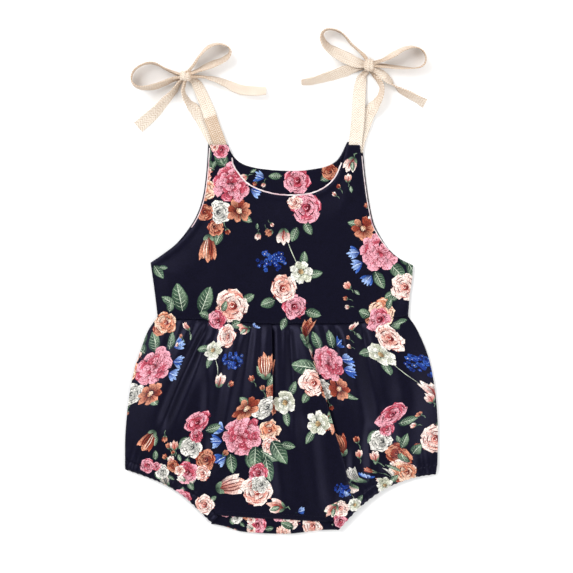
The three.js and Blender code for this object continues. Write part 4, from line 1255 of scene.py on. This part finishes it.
def bloomer_outline(hem, tuck):
    seam = waist_seam + (0, tuck - SEAM_GAP / 2)
    return loop_of(balloon_left[1:-1], hem, balloon_right[1:-1][::-1], seam[::-1])


def raised(height):
    """A face over its own plan, at the height that a function gives."""
    return lambda x, y: np.column_stack([x, y, height(x, y)])


def flat(z):
    return raised(lambda x, y: np.full(len(x), z))


def under(height, floor=0.0):
    """The inner face, kept a shell below the lowest of the outer face around each point."""
    shifts = ((0, 0), (1.6, 0), (-1.6, 0), (0, 1.6), (0, -1.6), (0.8, 0), (-0.8, 0))

    def lower(x, y):
        lowest = np.min([height(x + dx, y + dy) for dx, dy in shifts], axis=0)
        return np.maximum(lowest - SHELL, np.minimum(floor, height(x, y) - 0.3))
    return raised(lower)


print_front = placed(PRINT_FRONT, SMALLEST_SEEN, bloomer_warp)
print_back = placed(PRINT_BACK, SMALLEST_HIDDEN)


def pressed_creases(x, y):
    """The underside of the back: shallow creases pressed against the surface."""
    share = bloomer_share(x, y, back_hem)
    creases = np.zeros(len(x))
    for row in GATHERS[::2]:
        away = (x - through(row, share)) / (1.6 + 2 * share)
        creases += 0.45 * np.exp(-away ** 2) * smooth(1 - share / 0.4)
    return creases + 0.12 * (1 + ripple_noise(x, y, 30, 12))


def lap_lines():
    """The lines of the laps, in plan."""
    lines = []
    for row in LAPS:
        share = np.linspace(row[3], min(row[4] + 0.02, 0.985), 160)
        x = through(row, share)
        top, bottom = bloomer_ends(x, front_hem)
        lines.append(evenly(np.column_stack([x, top + share * (bottom - top)]), 1.3))
    return lines


def build_panels(facings):
    bodice = cloth_shell("front_bodice_cloth", bodice_outline(armhole_front, neck_front),
                         raised(front_bodice_height), under(front_bodice_height, FRONT_FLOOR),
                         print_front, seed=3)
    finish_piece(bodice, cotton, "navy_print", "front_bodice")

    bloomer = cloth_shell("front_bloomer_cloth", bloomer_outline(front_hem, TUCK),
                          front_bloomer_face, under(front_bloomer_height, FRONT_FLOOR),
                          print_front, seed=4, guides=lap_lines())
    finish_piece(bloomer, cotton, "navy_print", "front_bloomer")

    armholes = {"left": armhole_left, "right": armhole_right}
    back = cloth_shell("back_bodice_cloth", bodice_outline(armholes, neck_back), flat(CLOTH_WALL),
                       raised(lambda x, y: 0.12 * (1 + ripple_noise(x, y, 34, 8))),
                       placed(PRINT_NECK, SMALLEST_SEEN), print_back, seed=5)
    finish_piece(back, cotton, "navy_inside", "back_bodice")

    seat = cloth_shell("back_bloomer_cloth", bloomer_outline(back_hem, 0), flat(CLOTH_WALL),
                       raised(pressed_creases), (), print_back, seed=6)
    finish_piece(seat, cotton, "navy_inside", "back_bloomer")


def flap_faces(outline_rows=60):
    """The flap laid flat, and where its outer and inner faces go once it is wrapped."""
    fold, seam = smooth_line(CROTCH_FOLD), smooth_line(CROTCH_SEAM)
    radius = FLAP_TOP / 2
    turn_length = math.pi * radius
    middle = (fold[0, 0] + fold[-1, 0]) / 2

    def fold_at(x):
        return np.interp(x, fold[:, 0], fold[:, 1]) + radius

    def face(depth):
        r = radius - depth

        def place(x, y):
            run, upper = FLAP_END - y, FLAP_END - fold_at(x)
            angle = clamp((run - upper) / turn_length) * math.pi
            back = np.maximum(run - upper - turn_length, 0)
            plan_y = np.where(run < upper, y, fold_at(x) - r * np.sin(angle) + back)
            taper = 1 - FLAP_TAPER * np.maximum(plan_y - fold_at(x), 0)
            wave = 0.25 * ripple_noise(x, y, 14, 31) * np.sin(angle / 2 + 0.6)
            height = radius + r * np.cos(angle) + np.where(run < upper + turn_length / 2, wave, 0)
            return np.column_stack([middle + (x - middle) * taper, plan_y, height])
        return place

    x = np.linspace(fold[0, 0] - FLAP_PAST[0], fold[-1, 0] + FLAP_PAST[1], outline_rows)
    seam_y = np.interp(x, seam[:, 0], seam[:, 1]) - SEAM_GAP
    lower = 2 * fold_at(x) - turn_length - seam_y
    top = np.column_stack([x, np.full(len(x), FLAP_END)])
    sides = np.linspace(0, 1, 24)[1:-1, None]
    bottom = np.column_stack([x, lower])
    left = top[0] + (bottom[0] - top[0]) * sides
    right = bottom[-1] + (top[-1] - bottom[-1]) * sides
    return loop_of(left, bottom, right, top[::-1]), face(0), face(SHELL)


def build_flap():
    outline, outer, inner = flap_faces()
    flap = cloth_shell("crotch_flap_cloth", outline, outer, inner,
                       placed(PRINT_FLAP, 2 * SMALLEST_SEEN), seed=7)
    finish_piece(flap, cotton, "navy_print", "crotch_flap")


def casing_height(side):
    """The elastic tunnel: rounded across and rippled along, rising over the flap at the crotch."""
    line = leg_lines[side]
    seed = list(leg_lines).index(side)

    def height(x, y):
        away, place = nearest(line, x, y)
        edge = SHELL + 0.2
        round_share = np.sin(math.pi / 2 * clamp(away / 3)) ** 0.6
        seam = 0.35 * np.exp(-((CASING_WIDTH - away) / 0.9) ** 2)
        ripple = CASING_RIPPLE * ripples_along(place, seed)
        rise = edge + (CASING_CROWN - edge + ripple) * round_share
        return casing_rest(side, place) + rise - seam
    return height


def casing_outline(side, start, end, wide, wavy):
    line = leg_lines[side]
    line = line[int(start * len(line)):int(end * len(line))]
    place = run_along(line)
    waves = wavy * np.cos(2 * math.pi * place / RIPPLE_PITCH + np.sin(place * 0.2))[:, None]
    outer, inner = beside(line, waves), beside(line, wide)
    balloon, end, from_end = balloon_left, 0, place
    if side == "right":
        balloon, end, from_end = balloon_right, -1, place[-1] - place
    corner = balloon[-1] + (0, CORNER_LAP)
    inner += (corner - inner[end]) * smooth(1 - from_end / CORNER_RUN)[:, None]
    steps = np.linspace(0, 1, 8)[1:-1, None]
    first = inner[0] + (outer[0] - inner[0]) * steps
    last = outer[-1] + (inner[-1] - outer[-1]) * steps
    return loop_of(outer, last, inner[::-1], first)


def build_casings():
    for side in leg_lines:
        height = casing_height(side)
        outline = casing_outline(side, 0.005, 0.995, CASING_WIDTH + TUCK / 2, 0.3)
        front = cloth_shell(f"casing_front_{side}_cloth", outline, raised(height),
                            under(height, FRONT_FLOOR), print_front, seed=11)
        finish_piece(front, cotton, "navy_print", f"casing_front_{side}")
        start, end = (0.01, 0.8) if side == "left" else (0.2, 0.99)
        outline = casing_outline(side, start, end, CASING_WIDTH - TUCK, 0)
        back = cloth_shell(f"casing_back_{side}_cloth", outline, flat(CLOTH_WALL), flat(0.1), (),
                           print_back, seed=12)
        finish_piece(back, cotton, "navy_inside", f"casing_back_{side}")


def build_facings():
    """The pale facings that roll out past the edges. Each row: line, start, end, near, far."""
    strips = {
        "neck_facing": (neck_front, 0.08, 0.9, -1.7, 1.2),
        "armhole_facing_left": (armhole_front["left"], 0.03, 0.62, -0.9, 1.4),
        "armhole_facing_right": (armhole_front["right"], 0.08, 0.8, -1.4, 0.9),
    }
    pieces = []
    for node, (line, start, end, near, far) in strips.items():
        part = line[int(start * len(line)):int(end * len(line))]
        waves = 0.12 * np.sin(run_along(part) * 0.9)[:, None]
        outline = loop_of(beside(part, near), beside(part, far + waves)[::-1])
        strip = cloth_shell(f"{node}_cloth", outline, flat(FRONT_FLOOR + FACING_WALL),
                            flat(FRONT_FLOOR), (), (), seed=13)
        finish_piece(strip, reverse, "pale_reverse", node)
        pieces.append(strip)
    return pieces


build_panels(build_facings())
build_flap()
build_casings()

# The bows. Each strand's rows: x, y, lift off what lies below, roll (90 stands on edge), width
BOWS = {
    "left": {
        "knot": (-87.6, 187.8, 5.2, 6.2, 4.6, 4.6, -0.25),
        "strands": {
            "loop_left": [
                (-88, 189, 2.5, 88, 5), (-94.5, 190, 2, 88, 7), (-106.1, 194.7, 0.6, 84, 10),
                (-114.5, 198.9, 0.4, 82, 12), (-120.3, 199.7, 0.4, 84, 12), (-127.2, 197.9, 0.4, 86, 12),
                (-134.1, 193.1, 0.4, 89, 12), (-136.8, 186.8, 0.4, 92, 12), (-136.3, 182.1, 0.4, 95, 12),
                (-132.6, 178.2, 0.4, 99, 12), (-125.1, 176.8, 0.4, 105, 12), (-114.5, 178.3, 0.4, 109, 12),
                (-106.1, 181.5, 0.4, 108, 11), (-97.6, 185, 1, 100, 8), (-88, 187, 2.5, 92, 5),
            ],
            "loop_right": [
                (-87, 190, 3, 90, 5), (-82.8, 194.4, 2.4, 84, 7), (-78.6, 200.6, 1, 74, 9),
                (-74.9, 205.8, 0.5, 74, 11), (-65.9, 214.6, 0.4, 76, 12), (-58.5, 217.2, 0.4, 80, 12),
                (-52.2, 216.6, 0.4, 86, 12), (-47.4, 213.8, 0.4, 92, 12), (-46.4, 209.2, 0.4, 100, 12),
                (-51.1, 203.6, 0.4, 112, 12), (-61.7, 198.9, 0.4, 120, 12), (-70.1, 195.4, 0.8, 120, 11),
                (-76.5, 192.4, 1.8, 108, 8), (-85, 189, 3.2, 94, 5),
            ],
            "tail_left": [
                (-89.5, 186, 2.2, 60, 4), (-93, 181.4, 0.8, 55, 6), (-97.6, 174.1, 0.4, 50, 9),
                (-106.1, 164.6, 0.4, 48, 11), (-114.5, 155.1, 0.4, 42, 12), (-122, 148.4, 0.4, 34, 12),
                (-130.9, 140.9, 0.4, 28, 12),
            ],
            "tail_right": [
                (-86, 187, 3.4, 90, 5), (-78, 187, 3.2, 86, 6), (-72.3, 186.9, 2, 80, 8),
                (-61.7, 185.2, 0.6, 66, 11), (-51.2, 181.5, 0.4, 54, 12), (-42.7, 177.6, 0.4, 44, 12),
                (-35.2, 175, 0.4, 42, 12), (-24.7, 174.1, 0.4, 48, 12), (-13.1, 174.1, 0.4, 52, 12),
            ],
        },
        "straps": {
            "front": [
                (-86, 188, 1.4, 6, 6), (-80.5, 184.4, 0.8, 6, 7), (-76, 178.6, 0.5, 6, 10),
                (-70.2, 165.6, 0.5, 8, 11.4), (-66, 155.1, 1.8, 4, 12), (-62.7, 144.5, 2.6, 0, 12),
                (-58.8, 134, 2.8, 0, 12), (-55.9, 126, 2.8, 0, 12), (-54.3, 118.5, 2.8, 0, 12),
            ],
            "back": [
                (-87, 186, 0.6, 70, 5), (-88.3, 180, 0.4, 70, 6), (-89.1, 172.6, 0.4, 66, 9),
                (-85.4, 164.8, 0.4, 60, 11), (-79.6, 158, 0.4, 30, 12), (-72.8, 149.4, 0.4, 2, 12),
                (-67.4, 139.6, 0.8, 0, 12), (-61.6, 129.7, 1.5, 0, 12), (-56.2, 118.5, 1.5, 0, 10.4),
            ],
        },
    },
    "right": {
        "knot": (81.6, 197.8, 5.4, 5.4, 6, 4.8, -0.1),
        "strands": {
            "loop_left": [
                (80, 201, 3, 88, 5), (76.4, 206.4, 2.6, 88, 6), (70, 212.2, 1.4, 88, 8),
                (64.7, 217, 0.5, 88, 10), (60.4, 222.8, 0.4, 88, 12), (55.2, 227.8, 0.4, 88, 12),
                (48.6, 230.4, 0.4, 88, 12), (41.9, 230.2, 0.4, 84, 12), (38.4, 226.4, 0.4, 78, 12),
                (38.9, 221, 0.4, 68, 12), (43, 214.8, 0.4, 56, 12), (52, 208.8, 0.6, 38, 12),
                (61.8, 203.8, 1.6, 22, 12), (69.4, 200.4, 2.8, 14, 10), (80, 198, 4, 8, 6),
            ],
            "loop_right": [
                (83, 198.8, 4.6, 76, 5), (89, 200.6, 3.8, 66, 6), (96, 203.4, 1.6, 62, 9),
                (105.3, 208.4, 0.5, 66, 12), (113, 212.6, 0.4, 70, 12), (120.5, 214.5, 0.4, 76, 12),
                (127.1, 213.4, 0.4, 84, 12), (131.9, 209.1, 0.4, 90, 12), (133.4, 203.7, 0.4, 93, 12),
                (132.4, 199.4, 0.4, 95, 12), (129.1, 196.4, 0.4, 96, 12), (122.5, 195.1, 0.4, 98, 12),
                (113, 195.4, 0.4, 100, 12), (103.5, 196.2, 0.6, 104, 11), (94, 197.2, 1.6, 106, 8),
                (83, 197.4, 3, 96, 5),
            ],
            "tail_left": [
                (80, 197, 0.5, 20, 4), (74.1, 195.6, 0.4, 20, 5), (66.5, 194.4, 0.4, 20, 8),
                (58, 192, 0.4, 36, 12), (49.5, 188.9, 0.4, 44, 12), (40, 186.1, 0.4, 52, 12),
                (29.6, 183.3, 0.4, 64, 12), (19.1, 181.7, 0.4, 74, 12),
            ],
            "tail_right": [
                (83, 195, 4.6, 20, 5), (88.6, 192.6, 4.8, 20, 7), (93.6, 188.8, 3.6, 28, 9),
                (99.5, 183.8, 0.6, 52, 11), (104.8, 178.6, 0.4, 84, 11), (111, 174.2, 0.4, 108, 12),
                (117.7, 170.8, 0.4, 116, 12), (125.3, 166.7, 0.4, 122, 12), (132.8, 162.5, 0.4, 134, 12),
            ],
        },
        "straps": {
            "front": [
                (80.4, 192.2, 0.5, 10, 5), (77, 189.8, 0.5, 8, 6.5), (74.3, 184, 0.5, 4, 10),
                (72.7, 173.3, 0.8, 0, 11.6), (71.8, 159.2, 2.7, 0, 12), (70.9, 144.9, 2.7, 0, 12),
                (69.6, 132.6, 2.8, 0, 12), (68.9, 126, 2.8, 0, 12), (68.4, 118.5, 2.8, 0, 12),
            ],
            "back": [
                (83, 195, 0.6, -60, 3.4), (85.8, 190.2, 0.4, -60, 3.8), (89.8, 184.4, 0.4, -78, 8),
                (93, 178, 0.4, -78, 12), (92.1, 170.5, 0.4, -68, 12), (88.9, 164.6, 0.4, -56, 12),
                (85, 159.2, 0.4, -28, 12), (80.6, 152.4, 0.4, -2, 12), (76, 140, 0.8, 0, 12),
                (72, 128.6, 1.5, 0, 12), (69.6, 118.5, 1.5, 0, 12),
            ],
        },
    },
}
TAPE_WIDE = 12.0
TAPE_STEP = 1.1  # spacing of the sections along a tape
TAPE_TURNS_AND_SHADE = (("strap_front_left_tape", 0.55),)  # straps painted darker from a share on: painted shade over the tape's turned, duller face
TAPE_ACROSS = 13  # points across a tape


def tape_table(rows):
    """Even rows along a strand: x, y, lift, roll in radians and width."""
    table = np.array(rows, dtype=float)
    per_span = 12
    plan = curve_through(rows, per_span)
    place = np.arange(len(plan)) / per_span
    before = np.minimum(place.astype(int), len(rows) - 2)
    share = smooth(place - before)[:, None]
    values = table[before, 2:] * (1 - share) + table[before + 1, 2:] * share
    values[:, 1] = np.radians(values[:, 1])
    return evenly(np.column_stack([plan, values]), TAPE_STEP)


def add_map(piece, name, values):
    layer = piece.data.uv_layers.new(name=name)
    layer.data.foreach_set("uv", np.array(values, dtype=np.float32).ravel())


def tape_piece(name, rows, seed):
    """A flat tape along a route, pinched into small pleats where it is narrower than its cloth."""
    table = tape_table(rows)
    run = run_along(table)
    x, y, lift, roll, width = table.T
    rng = random.Random(seed)
    roll = roll + 0.05 * np.sin(run / rng.uniform(7, 11) + rng.uniform(0, 6))
    tangent = np.gradient(table[:, :2], axis=0)
    tangent /= np.linalg.norm(tangent, axis=1)[:, None]
    sideways = np.column_stack([tangent[:, 1], -tangent[:, 0], np.zeros(len(x))])
    up = np.array([0.0, 0.0, 1.0])
    cos, sin = np.cos(roll)[:, None], np.sin(roll)[:, None]
    breadth, face = sideways * cos + up * sin, up * cos - sideways * sin
    wall = TAPE_WALL * 0.8
    reach = abs(np.sin(roll)) * width / 2 + abs(np.cos(roll)) * TAPE_WALL / 2
    centre = np.column_stack([x, y, lift + reach])
    across = np.linspace(1, -1, TAPE_ACROSS)
    cup = rng.choice((-0.4, 0.4))
    pinch = clamp((TAPE_WIDE - width) / TAPE_WIDE)[:, None]
    pleats = 2.4 * pinch * np.cos(math.pi * (1.5 * across[None, :] + 0.3))
    wander = 0.12 * np.sin(run / 3.1 + seed)[:, None] * across[None, :]
    offset = cup * (1 - across[None, :] ** 2) * np.sqrt(np.maximum(1 - pinch, 0)) + pleats + wander
    selvage = wall * (1 + 0.25 * (abs(across) > 0.8))
    rings = []
    for side, order in ((1, slice(None)), (-1, slice(None, None, -1))):
        spread = (across[order][None, :] * width[:, None] / 2)[:, :, None] * breadth[:, None, :]
        depth = (offset[:, order] + side * selvage[order][None, :] / 2)[:, :, None] * face[:, None, :]
        rings.append(centre[:, None, :] + spread + depth)
    vertices = np.concatenate(rings, axis=1).reshape(-1, 3)
    vertices[:, 2] = np.maximum(vertices[:, 2], 0.15)
    faces, tape_map, bake_map = tape_faces(run, across)
    piece = mesh_piece(name, vertices * MM, faces, None, np.array(bake_map))
    add_map(piece, "tape", tape_map)
    # Painted shade: the tone darkens the tape's colour where the tape stands on edge, where it is pinched
    # narrow, and on the straps listed above
    flatness = abs(np.cos(roll)) * (0.35 + 0.65 * clamp(width / TAPE_WIDE))
    fall = dict(TAPE_TURNS_AND_SHADE).get(name)
    turned_face_and_shade = smooth((run / run[-1] - fall) / 0.04) if fall else np.zeros(len(run))
    painted_shade_tones = 0.1 + 0.64 * flatness - 0.62 * turned_face_and_shade
    around = 2 * TAPE_ACROSS
    add_map(piece, "tone", [(painted_shade_tones[vertex // around], 0) for face in faces for vertex in face])
    return piece, run[-1]


def tape_faces(run, across):
    """The faces of a tape and its two ends, with each corner's tape map and bake map."""
    faces, tape_map, bake_map = [], [], []
    steps, around = len(run), 2 * len(across)
    places = np.concatenate([1 - across, 1 - across[::-1]]) / 2 * TAPE_WIDE
    band = np.concatenate([0.02 + 0.44 * (1 - across) / 2, 0.52 + 0.44 * (1 + across[::-1]) / 2])
    for i in range(steps - 1):
        for k in range(around):
            n = (k + 1) % around
            corners = ((i, k), (i, n), (i + 1, n), (i + 1, k))
            faces.append([r * around + c for r, c in corners])
            tape_map += [(run[r], places[c]) for r, c in corners]
            stripe = band[k] + 0.03 if n == 0 else band[n]
            bake_map += [(0.02 + 0.96 * run[r] / run[-1], band[k] if c == k else stripe)
                         for r, c in corners]
    for i, flip in ((0, True), (steps - 1, False)):
        for k in range(TAPE_ACROSS - 1):
            quad = [k, k + 1, around - 2 - k, around - 1 - k]
            quad = quad if flip else quad[::-1]
            faces.append([i * around + c for c in quad])
            tape_map += [(run[i], places[c]) for c in quad]
            left = 0.002 + 0.982 * (not flip)
            for c in quad:
                row = c if c < TAPE_ACROSS else around - 1 - c
                bake_map.append((left + 0.014 * (c >= TAPE_ACROSS), 0.03 + 0.9 * row / TAPE_ACROSS))
    return faces, tape_map, bake_map


def knot_piece(name, shape, seed):
    """The tape wrapped round its own loops: a barrel with the wrap's edges and pleats."""
    x, y, z, half_x, half_y, half_z, turn = shape
    along = np.linspace(-1, 1, 41)
    around = np.linspace(0, 2 * math.pi, 56, endpoint=False)
    barrel = np.maximum(1 - abs(along) ** 2.8, 0) ** (1 / 2.4)
    band = 1 - 0.15 * smooth((abs(along + 0.05) - 0.62) / 0.1)
    rng = random.Random(seed)
    slanted = along[:, None] + 0.16 * np.sin(around + rng.uniform(0, 6))
    pleats = 0.085 * np.cos(2 * math.pi * 1.9 * slanted)
    lumps = 0.03 * np.sin(3 * around + 4 * along[:, None] + seed)
    radius = (barrel * band)[:, None] * (0.98 + pleats + lumps)
    places = np.stack([
        np.repeat(along[:, None], len(around), axis=1) * half_x,
        radius * half_y * np.cos(around), radius * half_z * np.sin(around),
    ], axis=2).reshape(-1, 3)
    cos, sin = math.cos(turn), math.sin(turn)
    spun = np.column_stack([places[:, 0] * cos - places[:, 1] * sin,
                            places[:, 0] * sin + places[:, 1] * cos, places[:, 2]])
    vertices = spun + (x, y, z)
    faces, tape_map, bake_map = [], [], []
    count, rows = len(around), len(along)
    for i in range(rows - 1):
        for k in range(count):
            corners = ((i, k), (i + 1, k), (i + 1, k + 1), (i, k + 1))
            faces.append([r * count + c % count for r, c in corners])
            tape_map += [(c / count * 2 * math.pi * half_y, 6 + along[r] * half_x) for r, c in corners]
            bake_map += [(0.02 + 0.96 * c / count, 0.02 + 0.96 * r / (rows - 1)) for r, c in corners]
    piece = mesh_piece(name, vertices * MM, faces, None, np.array(bake_map))
    add_map(piece, "tape", tape_map)
    # Painted shade: the whole knot gets a middle tone, darker than flat tape
    add_map(piece, "tone", [(0.5, 0)] * len(tape_map))
    return piece


def build_bows():
    for order, (side, bow) in enumerate(BOWS.items()):
        knot = knot_piece(f"bow_knot_{side}_tape", bow["knot"], order + 1)
        finish_piece(knot, tape, "cream_tape", f"bow_knot_{side}")
        strands = {f"bow_{side}_{strand}": rows for strand, rows in bow["strands"].items()}
        strands.update({f"strap_{layer}_{side}": rows for layer, rows in bow["straps"].items()})
        for seed, (node, rows) in enumerate(strands.items()):
            piece, length = tape_piece(f"{node}_tape", rows, 10 * order + seed)
            finish_piece(piece, tape, "cream_tape", node)


build_bows()


def stitch_row(name, line, height, pitch=2.6, long=1.7, thick=0.42):
    """A row of short stitches along a line, each sunk a little into the cloth."""
    spots = evenly(line, pitch)
    tangents = np.gradient(spots, axis=0)
    tangents /= np.linalg.norm(tangents, axis=1)[:, None]
    tops = height(spots[:, 0], spots[:, 1])
    sections = ((-0.5, 0.25, -0.12), (-0.3, 0.9, 0.04), (0, 1.0, 0.1), (0.3, 0.9, 0.04), (0.5, 0.25, -0.12))
    sides = 6
    vertices, faces = [], []
    for (x, y), (tx, ty), top in zip(spots, tangents, tops):
        first = len(vertices)
        for along, size, rise in sections:
            for k in range(sides):
                angle = 2 * math.pi * k / sides
                off = thick / 2 * size * math.cos(angle)
                vertices.append((x + tx * along * long - ty * off, y + ty * along * long + tx * off,
                                 top + rise + thick / 2 * size * math.sin(angle)))
        for ring in range(len(sections) - 1):
            for k in range(sides):
                a, b = first + ring * sides + k, first + ring * sides + (k + 1) % sides
                faces.append([a, b, b + sides, a + sides])
        faces.append([first + k for k in range(sides)][::-1])
        faces.append([first + (len(sections) - 1) * sides + k for k in range(sides)])
    piece = mesh_piece(name, np.array(vertices) * MM, faces)
    finish_piece(piece, thread, "navy_print")


def build_stitches():
    stitch_row("waist_stitches", waist_seam[4:-4] + (0, 1.6), front_bodice_height)
    for side, line in leg_lines.items():
        inner = beside(line, CASING_WIDTH - 0.9)[6:-6]
        stitch_row(f"leg_stitches_{side}", inner, casing_height(side))
    hem = smooth_line(HEM_FRONT)[3:-3]
    stitch_row("front_hem_stitches", hem + (0, 4.5), front_bloomer_height)


build_stitches()

# Camera, light and floor
PHOTO_SIDE = 573
MM_PER_PIXEL = 0.92
FRAME_CENTRE = (5.5, -5.5)
CAMERA_HEIGHT = 3.0
SENSOR = 36.0
# Soft lights: name, place in metres, size, power
LIGHTS = [("key", (-2.2, 2.0, 2.6), 2.6, 145.0), ("fill", (2.6, -1.2, 2.2), 2.4, 80.0)]
WALL_LIGHT = 1.5  # strength of the room's light from the sides
CEILING_LIGHT = 0.3  # and from straight above


def build_stage():
    floor_mesh = bpy.data.meshes.new("floor")
    half = 3.0
    floor_mesh.from_pydata([(-half, -half, 0), (half, -half, 0), (half, half, 0), (-half, half, 0)],
                           [], [(0, 1, 2, 3)])
    floor = bpy.data.objects.new("floor", floor_mesh)
    floor.location.z = -0.0006
    floor_mesh.materials.append(floor_material())
    bpy.context.collection.objects.link(floor)

    camera = bpy.data.objects.new("camera", bpy.data.cameras.new("camera"))
    view_width = PHOTO_SIDE * MM_PER_PIXEL * MM
    camera.data.sensor_width = SENSOR
    camera.data.lens = SENSOR * CAMERA_HEIGHT / view_width
    camera.location = (FRAME_CENTRE[0] * MM, FRAME_CENTRE[1] * MM, CAMERA_HEIGHT)
    bpy.context.collection.objects.link(camera)
    bpy.context.scene.camera = camera

    for name, place, size, power in LIGHTS:
        light = bpy.data.objects.new(name, bpy.data.lights.new(name, "AREA"))
        light.data.size = size
        light.data.energy = power
        light.location = place
        light.rotation_euler = (Vector((0, 0, 0)) - Vector(place)).to_track_quat("-Z", "Y").to_euler()
        bpy.context.collection.objects.link(light)
    world = bpy.data.worlds.new("studio")
    world.use_nodes = True
    tree = world.node_tree
    direction = tree.nodes.new("ShaderNodeTexCoord")
    split = tree.nodes.new("ShaderNodeSeparateXYZ")
    strength = tree.nodes.new("ShaderNodeMapRange")
    strength.inputs["To Min"].default_value = WALL_LIGHT
    strength.inputs["To Max"].default_value = CEILING_LIGHT
    tree.links.new(direction.outputs["Generated"], split.inputs[0])
    tree.links.new(split.outputs["Z"], strength.inputs["Value"])
    tree.links.new(strength.outputs["Result"], tree.nodes["Background"].inputs["Strength"])
    tree.nodes["Background"].inputs["Color"].default_value = (1, 1, 1, 1)
    bpy.context.scene.world = world
    bpy.context.scene.view_settings.view_transform = "Standard"


build_stage()
